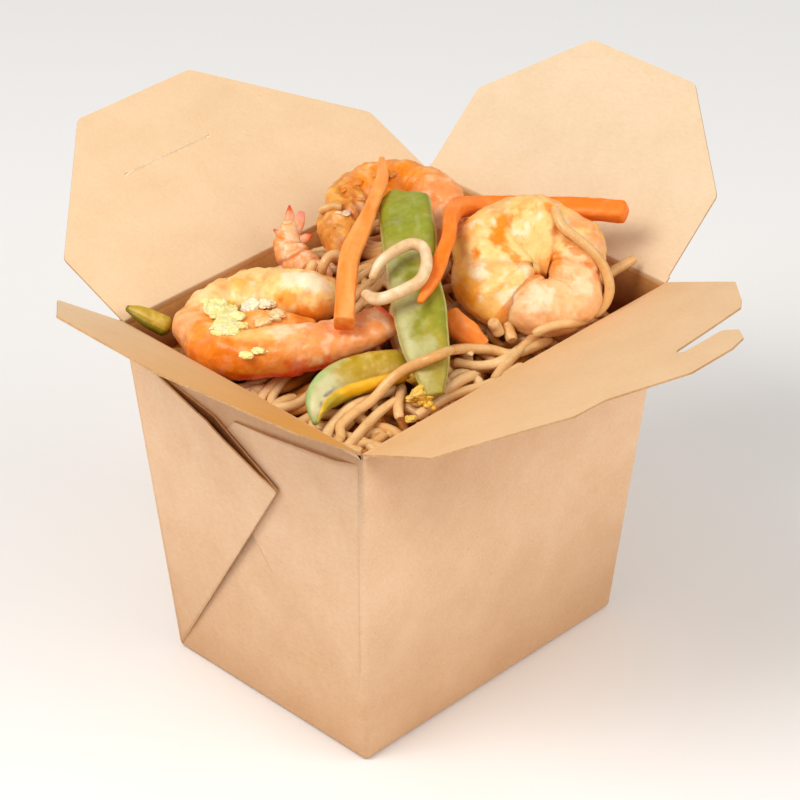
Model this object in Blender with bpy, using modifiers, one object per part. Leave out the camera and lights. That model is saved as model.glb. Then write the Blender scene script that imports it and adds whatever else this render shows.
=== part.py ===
"""Folded kraft takeaway box, open, heaped with noodles, shrimps and vegetables.

Metres, +Z up. The origin is the centre of the box's base. The front wall, whose flap ends in a
hooked tongue, faces -Y. The walls that carry the folded corner gussets face -X and +X.
"""

import math

import bmesh
import bpy
from mathutils import Matrix, Vector
from mathutils.bvhtree import BVHTree

MM = 0.001
GAP = 0.3 * MM

# The box: a square-cornered cup of board, wider at its rim than at its base.
RIM_WIDTH = 109.0 * MM
RIM_DEPTH = 84.3 * MM
BASE_WIDTH = 92.4 * MM
BASE_DEPTH = 69.5 * MM
HEIGHT = 100.0 * MM
BOARD = 0.5 * MM
CORNER_BEVEL = 1.2 * MM

# The gussets: each is a doubled triangle of board, folded flat against a side wall.
GUSSET_LOWER_PLY = 0.8 * MM
GUSSET_UPPER_PLY = 1.0 * MM
GUSSET_LOWER_SINK = 0.25 * MM
GUSSET_UPPER_SINK = 0.35 * MM
# Height of each gusset's corner at the rim, then the place of its upper vertex.
LOWER_GUSSET = (97.0 * MM, (-2.0 * MM, 89.5 * MM))
UPPER_GUSSET = (93.7 * MM, (8.7 * MM, 88.0 * MM))
GUSSET_TIP_HEIGHT = 76.3 * MM
GUSSET_OVERLAP = 13.1 * MM
GUSSET_SPRING = math.radians(2.9)

# The flaps: how far each leans out from upright, and the places of its corners.
REAR_LEAN = math.radians(68)
FRONT_LEAN = math.radians(67.5)
LEFT_LEAN = math.radians(53.5)
RIGHT_LEAN = math.radians(48)
LID_HALF = 54.0 * MM
LID_SHOULDER = 23.0 * MM
LID_REACH = 59.0 * MM
LID_TIP_HALF = 19.5 * MM
SIDE_HALF = 41.3 * MM
SIDE_SHOULDER = 25.5 * MM
SIDE_REACH = 50.0 * MM
SIDE_TIP_HALF = 17.5 * MM
FLAP_ROUNDING = 3.0 * MM
HOOK_ROUNDING = 1.5 * MM
SLIT_HEIGHT = 37.6 * MM
SLIT_START = -21.5 * MM
SLIT_END = 8.0 * MM
SLIT_WIDTH = 0.8 * MM

# The heap of noodles.
HEAP_EDGE = 91.0
HEAP_RISE = 15.0
HEAP_GAP = 0.6
HEAP_CORNER = 0.9 * MM
HEAP_COLUMNS = 30
HEAP_ROWS = 24

KRAFT = (0.62, 0.40, 0.22, 1.0)
KRAFT_INSIDE = (0.68, 0.45, 0.25, 1.0)
NOODLE = (0.72, 0.50, 0.25, 1.0)
SHRIMP = (0.86, 0.45, 0.20, 1.0)
CARROT = (0.90, 0.28, 0.06, 1.0)
PEA_POD = (0.36, 0.42, 0.12, 1.0)
SQUASH = (0.52, 0.46, 0.08, 1.0)
SPROUT = (0.80, 0.68, 0.45, 1.0)


def clear_scene():
    for old in list(bpy.data.objects):
        bpy.data.objects.remove(old, do_unlink=True)


def make_collection(name):
    collection = bpy.data.collections.new(name)
    bpy.context.scene.collection.children.link(collection)
    return collection


def make_material(name, colour, roughness, metallic=0.0):
    material = bpy.data.materials.new(name)
    material.use_nodes = True
    shader = material.node_tree.nodes["Principled BSDF"]
    shader.inputs["Base Color"].default_value = colour
    shader.inputs["Roughness"].default_value = roughness
    shader.inputs["Metallic"].default_value = metallic
    return material


def object_from_bmesh(name, bm, collection, material):
    mesh = bpy.data.meshes.new(name)
    bm.to_mesh(mesh)
    bm.free()
    mesh.materials.append(material)
    made = bpy.data.objects.new(name, mesh)
    collection.objects.link(made)
    return made


# --- Board: outlines, plates and the folded cup ---------------------------------------------


def fillet(points, radius, steps=4):
    """The outline with each corner turned into an arc, or a tighter one where sides are short."""
    rounded = []
    count = len(points)
    for index, corner in enumerate(points):
        here = Vector(corner)
        back = Vector(points[index - 1]) - here
        ahead = Vector(points[(index + 1) % count]) - here
        turn = math.pi - back.angle(ahead)
        reach = min(radius * math.tan(turn / 2), back.length * 0.45, ahead.length * 0.45)
        start = here + back.normalized() * reach
        end = here + ahead.normalized() * reach
        for step in range(steps + 1):
            t = step / steps
            rounded.append((1 - t) ** 2 * start + 2 * t * (1 - t) * here + t * t * end)
    return rounded


def plate(name, outlines, thickness, collection, material):
    """A flat board: closed outlines in its own XY plane, the first the edge and the rest holes."""
    curve = bpy.data.curves.new(name, "CURVE")
    curve.dimensions = "2D"
    curve.fill_mode = "BOTH"
    curve.extrude = thickness / 2
    for outline in outlines:
        spline = curve.splines.new("POLY")
        spline.points.add(len(outline) - 1)
        for point, place in zip(spline.points, outline):
            point.co = (place[0], place[1], 0.0, 1.0)
        spline.use_cyclic_u = True
    curve.materials.append(material)
    made = bpy.data.objects.new(name, curve)
    collection.objects.link(made)
    return made


def mesh_from_plate(board):
    """The same board as a welded mesh, so that it can take part in a Boolean."""
    bpy.context.view_layer.update()
    graph = bpy.context.evaluated_depsgraph_get()
    mesh = bpy.data.meshes.new_from_object(board.evaluated_get(graph))
    bm = bmesh.new()
    bm.from_mesh(mesh)
    bmesh.ops.remove_doubles(bm, verts=bm.verts, dist=0.00001)
    bmesh.ops.recalc_face_normals(bm, faces=bm.faces)
    bm.to_mesh(mesh)
    bm.free()
    made = bpy.data.objects.new(board.name + "_solid", mesh)
    made.matrix_world = board.matrix_world
    for collection in board.users_collection:
        collection.objects.link(made)
    bpy.data.objects.remove(board, do_unlink=True)
    return made


def make_cup(collection, material):
    """Base and four walls: an open surface, its folds rounded, then given the board's thickness."""
    bm = bmesh.new()
    bmesh.ops.create_cube(bm, size=1.0)
    for vertex in bm.verts:
        at_rim = vertex.co.z > 0
        width = RIM_WIDTH if at_rim else BASE_WIDTH
        depth = RIM_DEPTH if at_rim else BASE_DEPTH
        share = (HEIGHT - GAP) / HEIGHT if at_rim else 1.0
        vertex.co.x = math.copysign(width / 2 * share + BASE_WIDTH / 2 * (1 - share), vertex.co.x)
        vertex.co.y = math.copysign(depth / 2 * share + BASE_DEPTH / 2 * (1 - share), vertex.co.y)
        vertex.co.z = HEIGHT - GAP if at_rim else 0.0
    top = [face for face in bm.faces if face.normal.z > 0.9]
    bmesh.ops.delete(bm, geom=top, context="FACES_ONLY")
    folds = [edge for edge in bm.edges if not edge.is_boundary]
    bmesh.ops.bevel(bm, geom=folds, offset=CORNER_BEVEL, segments=2, affect="EDGES", profile=0.5)
    cup = object_from_bmesh("carton", bm, collection, material)
    wall = cup.modifiers.new("board", "SOLIDIFY")
    wall.thickness = BOARD
    wall.offset = -1.0
    wall.use_even_offset = True
    return cup


def wall_frame(side):
    """A side wall's own frame: X along the rim towards +Y, Y up the slope, Z out of the wall."""
    lean = math.atan2((RIM_WIDTH - BASE_WIDTH) / 2, HEIGHT)
    along = Vector((0, 1, 0))
    up = Vector((side * math.sin(lean), 0, math.cos(lean)))
    out = Vector((side * math.cos(lean), 0, -math.sin(lean)))
    base = Vector((side * BASE_WIDTH / 2, 0, 0))
    turn = Matrix((along, up, out)).transposed().to_4x4()
    return Matrix.Translation(base) @ turn


def gusset_outline(side_of_fold, top_corner, upper_vertex):
    """Hinge edge up the wall's corner, cut edge across and down to the tip, fold to the base."""
    inset = CORNER_BEVEL + 0.2 * MM
    hinge_base = (side_of_fold * (BASE_DEPTH / 2 - inset), 1.5 * MM)
    hinge_top = (side_of_fold * (RIM_DEPTH / 2 - inset - 0.4 * MM), top_corner)
    vertex = (side_of_fold * upper_vertex[0], upper_vertex[1])
    tip = (-side_of_fold * GUSSET_OVERLAP, GUSSET_TIP_HEIGHT)
    return [hinge_base, hinge_top, vertex, tip]


def add_gussets(cup, collection, material):
    """Two doubled gussets on each side wall, the rear one lapping over the front one."""
    for side, side_name in ((-1, "left"), (1, "right")):
        frame = wall_frame(side)
        lower = gusset_outline(-1, *LOWER_GUSSET)
        thickness = GUSSET_LOWER_PLY + GUSSET_LOWER_SINK
        under = plate("gusset_under_" + side_name, [lower], thickness, collection, material)
        lift = Matrix.Translation((0, 0, thickness / 2 - GUSSET_LOWER_SINK))
        under.matrix_world = frame @ lift
        upper = gusset_outline(1, *UPPER_GUSSET)
        over = plate("gusset_over_" + side_name, [upper], GUSSET_UPPER_PLY, collection, material)
        hinge = Matrix.Translation((RIM_DEPTH / 2, 0, 0))
        swing = hinge @ Matrix.Rotation(GUSSET_SPRING, 4, "Y") @ hinge.inverted()
        lift = Matrix.Translation((0, 0, GUSSET_UPPER_PLY / 2 - GUSSET_UPPER_SINK))
        over.matrix_world = frame @ swing @ lift
        for board in (under, over):
            solid = mesh_from_plate(board)
            solid.hide_render = True
            solid.display_type = "WIRE"
            join = cup.modifiers.new(solid.name, "BOOLEAN")
            join.operation = "UNION"
            join.solver = "EXACT"
            join.object = solid


def hinged_flap(name, outlines, hinge, turn, lean, collection, material):
    """A board on its crease: the parent empty lies on the crease, along the wall's outer face."""
    crease = bpy.data.objects.new(name + "_crease", None)
    crease.location = hinge
    crease.rotation_euler = (math.pi / 2 - lean, 0.0, turn)
    collection.objects.link(crease)
    flap = plate(name, outlines, BOARD, collection, material)
    flap.parent = crease
    flap.location = (0.0, 0.0, BOARD / 2)
    return flap


def tapered_outline(half, shoulder, reach, tip_half):
    """A plain flap: straight sides from the crease to the shoulders, then a taper to the tip."""
    base = [(-half, GAP), (half, GAP)]
    top = [(half, shoulder), (tip_half, reach), (-tip_half, reach), (-half, shoulder)]
    corners = fillet(base + top, FLAP_ROUNDING)
    return [Vector(end) for end in base] + [point for point in corners if point.y > FLAP_ROUNDING]


def hook_outline():
    """The front flap: a body with cut-off corners, and a tongue that is slotted on one side."""
    body_right = [(54.3, 23.5), (43.9, 34.4), (38.5, 38.9), (11.7, 42.0)]
    slot_end = [(9.8, 43.3)]
    tongue = [(11.0, 45.0), (24.4, 45.2), (25.2, 50.0), (20.5, 55.4), (14.2, 57.4), (-0.3, 57.4)]
    left_shoulder = [(-18.3, 46.4), (-28.3, 45.6), (-54.3, 24.0)]
    outline = [(x * MM, y * MM) for x, y in body_right + slot_end + tongue + left_shoulder]
    ends = [(left_shoulder[-1][0] * MM, GAP), (body_right[0][0] * MM, GAP)]
    corners = [point for point in fillet(ends + outline, HOOK_ROUNDING) if point.y > HOOK_ROUNDING]
    mirrored = [Vector((-point[0], point[1])) for point in ends + corners]
    return mirrored[::-1]


def make_flaps(collection, lining):
    """Four flaps on the rim's creases, each leaning outwards by its own angle."""
    lid = tapered_outline(LID_HALF, LID_SHOULDER, LID_REACH, LID_TIP_HALF)
    side = tapered_outline(SIDE_HALF, SIDE_SHOULDER, SIDE_REACH, SIDE_TIP_HALF)
    low, high = SLIT_HEIGHT - SLIT_WIDTH / 2, SLIT_HEIGHT + SLIT_WIDTH / 2
    slit = [(SLIT_START, low), (SLIT_END, low), (SLIT_END, high), (SLIT_START, high)]
    quarter = math.pi / 2
    flaps = (
        ("rear_flap", [lid, slit], (0, RIM_DEPTH / 2, HEIGHT), 0.0, REAR_LEAN),
        ("front_flap", [hook_outline()], (0, -RIM_DEPTH / 2, HEIGHT), math.pi, FRONT_LEAN),
        ("left_flap", [side], (-RIM_WIDTH / 2, 0, HEIGHT), quarter, LEFT_LEAN),
        ("right_flap", [side], (RIM_WIDTH / 2, 0, HEIGHT), -quarter, RIGHT_LEAN),
    )
    for name, outlines, hinge, turn, lean in flaps:
        hinged_flap(name, outlines, hinge, turn, lean, collection, lining)


# --- Food: one sweep makes every shrimp and cut vegetable ------------------------------------


def smooth_rows(rows, count):
    """Evenly parted rows on a smooth curve through the given ones, sizes along with places."""
    last = len(rows) - 1
    result = []
    for step in range(count):
        place = step * last / (count - 1)
        index = min(int(place), last - 1)
        t = place - index
        before = rows[max(index - 1, 0)]
        after = rows[min(index + 2, last)]
        row = []
        for a, b, c, d in zip(before, rows[index], rows[index + 1], after):
            bend = (2 * a - 5 * b + 4 * c - d) * t * t + (3 * b - a - 3 * c + d) * t**3
            row.append(0.5 * (2 * b + (c - a) * t + bend))
        result.append(row)
    return result


def section(half_width, half_thickness, sides, squareness):
    """Points of a superellipse: 2 is round, and a higher squareness is more like a cut stick."""
    points = []
    for side in range(sides):
        angle = 2 * math.pi * (side + 0.5) / sides
        across, through = math.cos(angle), math.sin(angle)
        power = 2 / squareness
        points.append(
            (
                math.copysign(abs(across) ** power, across) * half_width,
                math.copysign(abs(through) ** power, through) * half_thickness,
            )
        )
    return points


def end_rings(row, heading, length, blunt):
    """The rows that close an end, from its last full section out to its tip: (row, scale)."""
    rings = []
    for degrees in (30, 60):
        angle = math.radians(degrees)
        scale = math.cos(angle) * (1 - blunt) + blunt
        centre = Vector(row[:3]) + heading * length * math.sin(angle)
        rings.append((list(centre) + list(row[3:]), scale))
    return rings


def sweep(item, rows, face, rings, sides, squareness=2.0, ends=(1.0, 1.0), blunt=0.0):
    """A closed solid along a path. Rows are x, y, z, half width and half thickness, in mm.

    item is the solid's name, material and collection, and face is the way that its wide side looks.
    ends are the lengths of the two domed ends, as shares of the half thickness there, and a blunt
    end keeps that share of its width.
    """
    name, material, collection = item
    path = smooth_rows(rows, rings)
    places = [Vector(row[:3]) for row in path]
    start_way = (places[0] - places[1]).normalized()
    end_way = (places[-1] - places[-2]).normalized()
    first = end_rings(path[0], start_way, ends[0] * path[0][4], blunt)[::-1]
    last = end_rings(path[-1], end_way, ends[1] * path[-1][4], blunt)
    stations = first + [(row, 1.0) for row in path] + last
    centres = [Vector(row[:3]) for row, _ in stations]
    bm = bmesh.new()
    loops = []
    for index, (row, scale) in enumerate(stations):
        ahead = centres[min(index + 1, len(centres) - 1)]
        tangent = (ahead - centres[max(index - 1, 0)]).normalized()
        across = tangent.cross(Vector(face)).normalized()
        outward = across.cross(tangent)
        loop = []
        for width, thickness in section(row[3] * scale, row[4] * scale, sides, squareness):
            place = centres[index] + across * width + outward * thickness
            loop.append(bm.verts.new(place * MM))
        loops.append(loop)
    for near, far in zip(loops, loops[1:]):
        for side in range(sides):
            after = (side + 1) % sides
            bm.faces.new((near[side], near[after], far[after], far[side]))
    caps = ((loops[0], path[0], start_way, ends[0]), (loops[-1], path[-1], end_way, ends[1]))
    for loop, row, way, length in caps:
        tip = bm.verts.new((Vector(row[:3]) + way * length * row[4]) * MM)
        for side in range(sides):
            bm.faces.new((loop[side], loop[(side + 1) % sides], tip))
    bmesh.ops.recalc_face_normals(bm, faces=bm.faces)
    made = object_from_bmesh(name, bm, collection, material)
    made.data.shade_smooth()
    return made


def with_segments(rows, count, depth, rings):
    """Shell segments: each swells along its length and drops to the next one's smaller edge."""
    result = []
    for index, row in enumerate(smooth_rows(rows, rings)):
        phase = index / (rings - 1) * count % 1.0
        swell = 1 + depth * (phase - 0.5)
        result.append(row[:3] + [row[3] * swell, row[4] * swell])
    return result


def curled_rows(centre, tilt, start, end, outer, hole, thickness, steps):
    """A shrimp curled up on itself: angles in degrees, and outer radii and depths at equal steps.

    The curl lies in a plane that leans by tilt from level towards the viewer at -X, -Y.
    """
    right = Vector((0.70, -0.714, 0.0))
    away = Vector((0.714, 0.70, 0.0))
    up = away * math.cos(tilt) + Vector((0, 0, 1)) * math.sin(tilt)
    radii = smooth_rows([[radius] for radius in outer], steps)
    depths = smooth_rows([[depth] for depth in thickness], steps)
    rows = []
    for step, ((radius,), (depth,)) in enumerate(zip(radii, depths)):
        angle = math.radians(start + (end - start) * step / (steps - 1))
        middle = (radius + hole) / 2
        place = Vector(centre) + (right * math.cos(angle) + up * math.sin(angle)) * middle
        rows.append(list(place) + [(radius - hole) / 2, depth])
    return rows, right.cross(up)


def make_shrimps(collection):
    flesh = make_material("shrimp", SHRIMP, 0.35)
    level = (0.0, 0.0, 1.0)
    left = [
        (-17.6, 9.2, 105.0, 5.6, 5.4),
        (-21.0, 15.7, 104.8, 6.9, 6.0),
        (-25.9, 21.8, 104.2, 7.4, 6.2),
        (-32.9, 25.6, 103.2, 7.3, 6.2),
        (-40.6, 25.4, 101.8, 7.0, 6.0),
        (-45.6, 19.1, 100.9, 7.0, 5.9),
        (-45.4, 9.9, 101.2, 7.0, 5.8),
        (-37.3, 1.2, 102.0, 6.6, 5.5),
        (-28.0, -4.7, 103.0, 5.6, 4.8),
        (-19.2, -7.9, 104.0, 4.8, 4.3),
        (-13.0, -9.4, 104.8, 4.4, 3.8),
    ]
    item = ("shrimp_left", flesh, collection)
    sweep(item, with_segments(left, 6, 0.07, 29), level, 29, 14, 2.2, (0.9, 0.25))
    curl, curl_face = curled_rows(
        centre=(26.6, -25.3, 106.5),
        tilt=math.radians(32),
        start=224.0,
        end=-130.0,
        outer=(19.6, 21.0, 23.3, 24.6, 24.3, 22.3, 20.3, 20.0)
        + (17.0, 14.6, 15.0, 16.2, 16.0, 15.2, 15.6, 15.3),
        hole=1.2,
        thickness=(6.0, 8.0, 7.6, 6.6, 6.0, 5.8, 5.0),
        steps=33,
    )
    item = ("shrimp_right", flesh, collection)
    sweep(item, with_segments(curl, 7, 0.06, 33), curl_face, 33, 14, 2.2, (0.08, 0.08))
    back = [
        (2.3, 21.7, 106.5, 4.6, 4.8),
        (8.5, 27.6, 108.5, 5.7, 5.6),
        (17.3, 32.0, 110.0, 6.2, 6.0),
        (25.4, 30.8, 110.5, 6.4, 6.2),
        (31.2, 25.2, 110.5, 6.4, 6.2),
        (31.7, 16.4, 110.0, 6.2, 6.0),
        (27.1, 8.8, 108.5, 5.1, 5.4),
        (21.2, 4.1, 107.0, 3.6, 4.2),
    ]
    item = ("shrimp_back", flesh, collection)
    sweep(item, with_segments(back, 6, 0.07, 27), level, 27, 12, 2.2, (0.9, 0.6))
    tail = [
        (-2.4, 35.8, 114.4, 0.7, 0.5),
        (-3.4, 34.6, 113.0, 2.1, 1.0),
        (-4.9, 33.2, 111.0, 2.8, 1.7),
        (-6.3, 32.2, 109.0, 3.2, 2.5),
        (-7.9, 30.6, 106.6, 3.9, 3.2),
        (-8.2, 27.8, 104.6, 4.3, 3.7),
        (-7.2, 24.4, 103.2, 3.9, 3.6),
        (-6.0, 21.0, 102.2, 3.1, 3.1),
    ]
    leaning = (-0.5, -0.5, 0.7)
    item = ("shrimp_tail", flesh, collection)
    sweep(item, with_segments(tail, 4, 0.05, 18), leaning, 18, 12, 2.0, (0.4, 1.0))


def make_vegetables(collection):
    """Carrot sticks, a pea pod, two squash slices and a bean sprout, laid over the shrimps."""
    carrot = make_material("carrot", CARROT, 0.4)
    to_viewer = (-0.60, -0.585, 0.547)
    centre = [
        (22.5, 27.5, 121.1, 0.8, 0.8),
        (15.9, 20.9, 121.1, 1.5, 1.4),
        (9.8, 16.7, 120.9, 1.7, 1.8),
        (2.2, 12.0, 119.9, 1.8, 2.0),
        (-5.8, 7.5, 118.8, 2.4, 2.0),
        (-12.6, 3.9, 116.9, 2.6, 2.2),
        (-20.6, -2.8, 114.0, 2.5, 2.3),
        (-28.6, -10.1, 111.0, 2.5, 2.4),
    ]
    sweep(("carrot_center", carrot, collection), centre, to_viewer, 16, 8, 4.0, (0.9, 0.15), 0.4)
    bent = [
        (51.8, -28.4, 116.4, 2.6, 2.4),
        (47.9, -17.5, 114.5, 2.7, 2.4),
        (40.6, -6.7, 113.5, 2.7, 2.2),
        (32.2, 0.9, 114.0, 2.6, 2.2),
        (22.4, 0.5, 118.1, 2.3, 2.1),
        (13.4, -5.2, 120.0, 2.1, 1.9),
        (3.7, -12.1, 119.0, 2.1, 1.7),
        (-5.2, -17.6, 116.9, 1.9, 1.4),
        (-12.8, -20.3, 114.8, 1.0, 0.8),
    ]
    sweep(("carrot_bent", carrot, collection), bent, (-0.35, -0.3, 0.85), 25, 8, 3.6, (0.5, 0.7), 0.3)
    small = [
        (2.1, -15.9, 103.6, 2.8, 2.0),
        (0.6, -20.3, 102.4, 3.6, 2.2),
        (0.8, -24.6, 101.0, 3.1, 2.0),
        (2.2, -28.0, 99.6, 1.0, 1.0),
    ]
    sweep(("carrot_small", carrot, collection), small, to_viewer, 9, 8, 3.0, (0.4, 0.6))
    pod = [
        (16.0, 13.3, 118.5, 6.2, 1.7),
        (10.6, 7.3, 118.2, 6.8, 2.3),
        (3.8, -0.4, 117.0, 6.9, 2.5),
        (-3.4, -8.5, 114.6, 6.4, 2.4),
        (-10.4, -17.7, 110.4, 6.6, 2.4),
        (-15.3, -24.4, 106.4, 6.0, 2.3),
        (-18.4, -29.2, 102.8, 4.9, 2.0),
        (-21.5, -33.8, 98.6, 2.3, 1.4),
    ]
    green = make_material("pea_pod", PEA_POD, 0.4)
    sweep(("pea_pod", green, collection), pod, to_viewer, 20, 12, 2.6, (0.6, 0.6), 0.5)
    squash = make_material("squash", SQUASH, 0.4)
    slice_front = [
        (-47.4, -19.2, 95.2, 0.8, 0.6),
        (-45.4, -17.6, 97.2, 2.4, 1.6),
        (-41.3, -15.6, 98.6, 4.0, 2.6),
        (-34.3, -14.9, 99.2, 4.9, 3.2),
        (-27.3, -17.2, 99.6, 4.9, 3.4),
        (-20.4, -20.0, 99.2, 4.4, 3.2),
    ]
    skin_up = (-0.5, -0.45, 0.75)
    sweep(("squash_front", squash, collection), slice_front, skin_up, 16, 12, 2.4, (0.8, 0.8))
    slice_corner = [
        (-53.2, 40.6, 103.6, 1.0, 0.8),
        (-51.8, 38.8, 102.8, 1.9, 1.5),
        (-50.0, 36.0, 101.6, 2.4, 2.0),
        (-48.6, 33.2, 100.4, 2.6, 2.2),
    ]
    sweep(("squash_corner", squash, collection), slice_corner, skin_up, 10, 10, 2.4, (0.8, 0.8))
    sprout = [
        (-19.2, -8.5, 114.3, 1.7, 1.7),
        (-19.6, -11.5, 114.7, 1.9, 1.9),
        (-18.5, -14.3, 115.7, 1.9, 1.9),
        (-14.9, -16.3, 116.9, 1.85, 1.85),
        (-10.9, -18.1, 118.7, 1.85, 1.85),
        (-6.5, -16.3, 120.6, 1.8, 1.8),
        (-2.5, -11.5, 121.5, 1.8, 1.8),
        (-3.3, -8.0, 121.7, 1.8, 1.8),
        (-8.0, -6.8, 121.1, 1.8, 1.8),
        (-11.5, -6.1, 118.9, 1.4, 1.4),
    ]
    pale = make_material("sprout", SPROUT, 0.35)
    sweep(("bean_sprout", pale, collection), sprout, (-0.4, -0.4, 0.8), 26, 8, 2.0)


def heap_height(x, y):
    """The noodle heap's height over the base, in mm: a low dome with a tangle's bumps."""
    dome = HEAP_RISE * math.exp(-(((x - 8) / 40) ** 2) - ((y - 5) / 34) ** 2)
    sunk_corner = 5.0 * math.exp(-(((x - 50) / 14) ** 2) - ((y + 26) / 16) ** 2)
    waves = math.sin(0.42 * x + 0.9 * math.sin(0.19 * y))
    tangle = 1.1 * waves * math.sin(0.37 * y + 0.8 * math.sin(0.23 * x))
    return HEAP_EDGE + dome + tangle - sunk_corner


def cup_inside(height):
    """Half the width and depth open to the noodles inside the cup, at a height over the base."""
    share = height / HEIGHT
    half_width = (BASE_WIDTH + (RIM_WIDTH - BASE_WIDTH) * share) / 2
    half_depth = (BASE_DEPTH + (RIM_DEPTH - BASE_DEPTH) * share) / 2
    return half_width - BOARD - GAP, half_depth - BOARD - GAP


def lowest_above(tree, x, y, reach):
    """The lowest food over a point of the heap or within reach of it, in mm."""
    lowest = 1000.0
    for step_x in (-1.0, -0.5, 0.0, 0.5, 1.0):
        for step_y in (-1.0, -0.5, 0.0, 0.5, 1.0):
            foot = Vector((x + step_x * reach, y + step_y * reach, 60.0)) * MM
            hit = tree.ray_cast(foot, Vector((0, 0, 1)))[0]
            if hit is not None:
                lowest = min(lowest, hit.z / MM)
    return lowest


def make_noodle_heap(collection, toppings):
    """One solid that fills the cup to an uneven top, pressed down wherever a topping lies on it."""
    vertices, faces = [], []
    for topping in toppings:
        first = len(vertices)
        vertices.extend(vertex.co.copy() for vertex in topping.data.vertices)
        faces.extend([first + index for index in face.vertices] for face in topping.data.polygons)
    tree = BVHTree.FromPolygons(vertices, faces)
    bm = bmesh.new()
    bmesh.ops.create_grid(bm, x_segments=HEAP_COLUMNS, y_segments=HEAP_ROWS, size=1.0)
    cell = RIM_WIDTH / MM / HEAP_COLUMNS
    for vertex in bm.verts:
        across, along = vertex.co.x, vertex.co.y
        half_width, half_depth = cup_inside(HEAP_EDGE * MM)
        x, y = across * half_width / MM, along * half_depth / MM
        height = min(heap_height(x, y), lowest_above(tree, x, y, cell) - HEAP_GAP) * MM
        half_width, half_depth = cup_inside(height)
        in_corner = abs(across) > 0.99 and abs(along) > 0.99
        inset = HEAP_CORNER if in_corner else 0.0
        vertex.co = Vector((across * (half_width - inset), along * (half_depth - inset), height))
    rim = [edge for edge in bm.edges if edge.is_boundary]
    skirt = bmesh.ops.extrude_edge_only(bm, edges=rim)["geom"]
    floor = BOARD + GAP
    low_width, low_depth = cup_inside(floor)
    for vertex in [item for item in skirt if isinstance(item, bmesh.types.BMVert)]:
        half_width, half_depth = cup_inside(vertex.co.z)
        x = vertex.co.x * (low_width - HEAP_CORNER) / half_width
        y = vertex.co.y * (low_depth - HEAP_CORNER) / half_depth
        vertex.co = Vector((x, y, floor))
    bottom = [edge for edge in bm.edges if edge.is_boundary]
    bmesh.ops.contextual_create(bm, geom=bottom)
    bmesh.ops.recalc_face_normals(bm, faces=bm.faces)
    made = object_from_bmesh("noodle_heap", bm, collection, make_material("noodles", NOODLE, 0.45))
    made.data.shade_smooth()
    return made


def main():
    clear_scene()
    box = make_collection("noodle_box")
    joined = make_collection("joined_boards")
    kraft = make_material("kraft_board", KRAFT, 0.85)
    lining = make_material("kraft_flap", KRAFT_INSIDE, 0.8)
    cup = make_cup(box, kraft)
    add_gussets(cup, joined, kraft)
    make_flaps(box, lining)
    make_shrimps(box)
    make_vegetables(box)
    toppings = [item for item in box.objects if item.type == "MESH" and item.name != "carton"]
    make_noodle_heap(box, toppings)


main()
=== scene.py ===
# %% [markdown]
# # A folded kraft box of noodles, shrimps and vegetables
#
# The box is one sheet of board, creased and folded: a tapering cup, four flaps, and two doubled
# triangles (gussets) folded flat on each side wall. This notebook dresses a finished set of plain
# solids, the frame, which says where everything sits and which flap turns on which crease.
# Lengths below are in millimetres unless a name says otherwise, and MM turns them into metres.

# %% Load the frame
import math
import bmesh
import bpy
import numpy as np
from mathutils import Matrix, Vector
from mathutils.bvhtree import BVHTree


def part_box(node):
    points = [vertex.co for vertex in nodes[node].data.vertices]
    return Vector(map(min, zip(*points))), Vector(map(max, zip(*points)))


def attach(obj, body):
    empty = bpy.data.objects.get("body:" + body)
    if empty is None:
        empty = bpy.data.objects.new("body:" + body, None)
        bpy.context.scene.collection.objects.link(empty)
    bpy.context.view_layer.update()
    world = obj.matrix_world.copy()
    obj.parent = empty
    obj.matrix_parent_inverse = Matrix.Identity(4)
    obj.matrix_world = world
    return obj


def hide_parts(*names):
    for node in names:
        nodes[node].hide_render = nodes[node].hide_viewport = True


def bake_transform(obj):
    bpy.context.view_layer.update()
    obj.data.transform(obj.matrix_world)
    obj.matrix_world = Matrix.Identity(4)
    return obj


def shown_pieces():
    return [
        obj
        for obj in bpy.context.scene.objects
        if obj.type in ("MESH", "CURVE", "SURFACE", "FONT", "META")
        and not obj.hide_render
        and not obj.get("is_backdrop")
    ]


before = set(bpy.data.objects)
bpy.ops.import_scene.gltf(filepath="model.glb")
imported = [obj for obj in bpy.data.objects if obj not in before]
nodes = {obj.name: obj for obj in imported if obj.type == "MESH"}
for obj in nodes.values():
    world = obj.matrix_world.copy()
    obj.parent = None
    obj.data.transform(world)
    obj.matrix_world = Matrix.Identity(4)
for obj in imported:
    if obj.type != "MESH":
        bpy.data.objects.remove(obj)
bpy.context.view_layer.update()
scene = bpy.context.scene
MM = 0.001

RIM = round(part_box("carton")[1].z / MM)
print("frame:", len(nodes), "nodes, creases at", RIM, "mm")

# %% [markdown]
# ## Camera, floor and light
#
# A long lens some 0.9 m away keeps the box's edges nearly parallel, as in a catalogue picture.
# The camera is set from its direction, and slid sideways in its own plane so that the box sits
# where it should in the frame. A wide soft light stands high on the left, a weaker one on the
# right, and a bright even sky fills the shadows: the look of a light tent.

# %% Camera
AZIMUTH = math.radians(-45.68)
ELEVATION = math.radians(33.14)
ROLL = math.radians(0.15)
DISTANCE = 882.23 * MM
AIM = Vector((0.0, 0.0, 0.05))
SLIDE = (0.857 * MM, 17.654 * MM)
LENS = 154.34


def camera_axes(azimuth, elevation, roll):
    """Right, up and backward directions of a camera that looks from this azimuth and height."""
    level_reach = math.cos(elevation)
    back = Vector((math.sin(azimuth) * level_reach, -math.cos(azimuth) * level_reach,
                   math.sin(elevation)))
    level = Vector((math.cos(azimuth), math.sin(azimuth), 0.0))
    rise = back.cross(level)
    right = level * math.cos(roll) + rise * math.sin(roll)
    return right, back.cross(right), back


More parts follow.
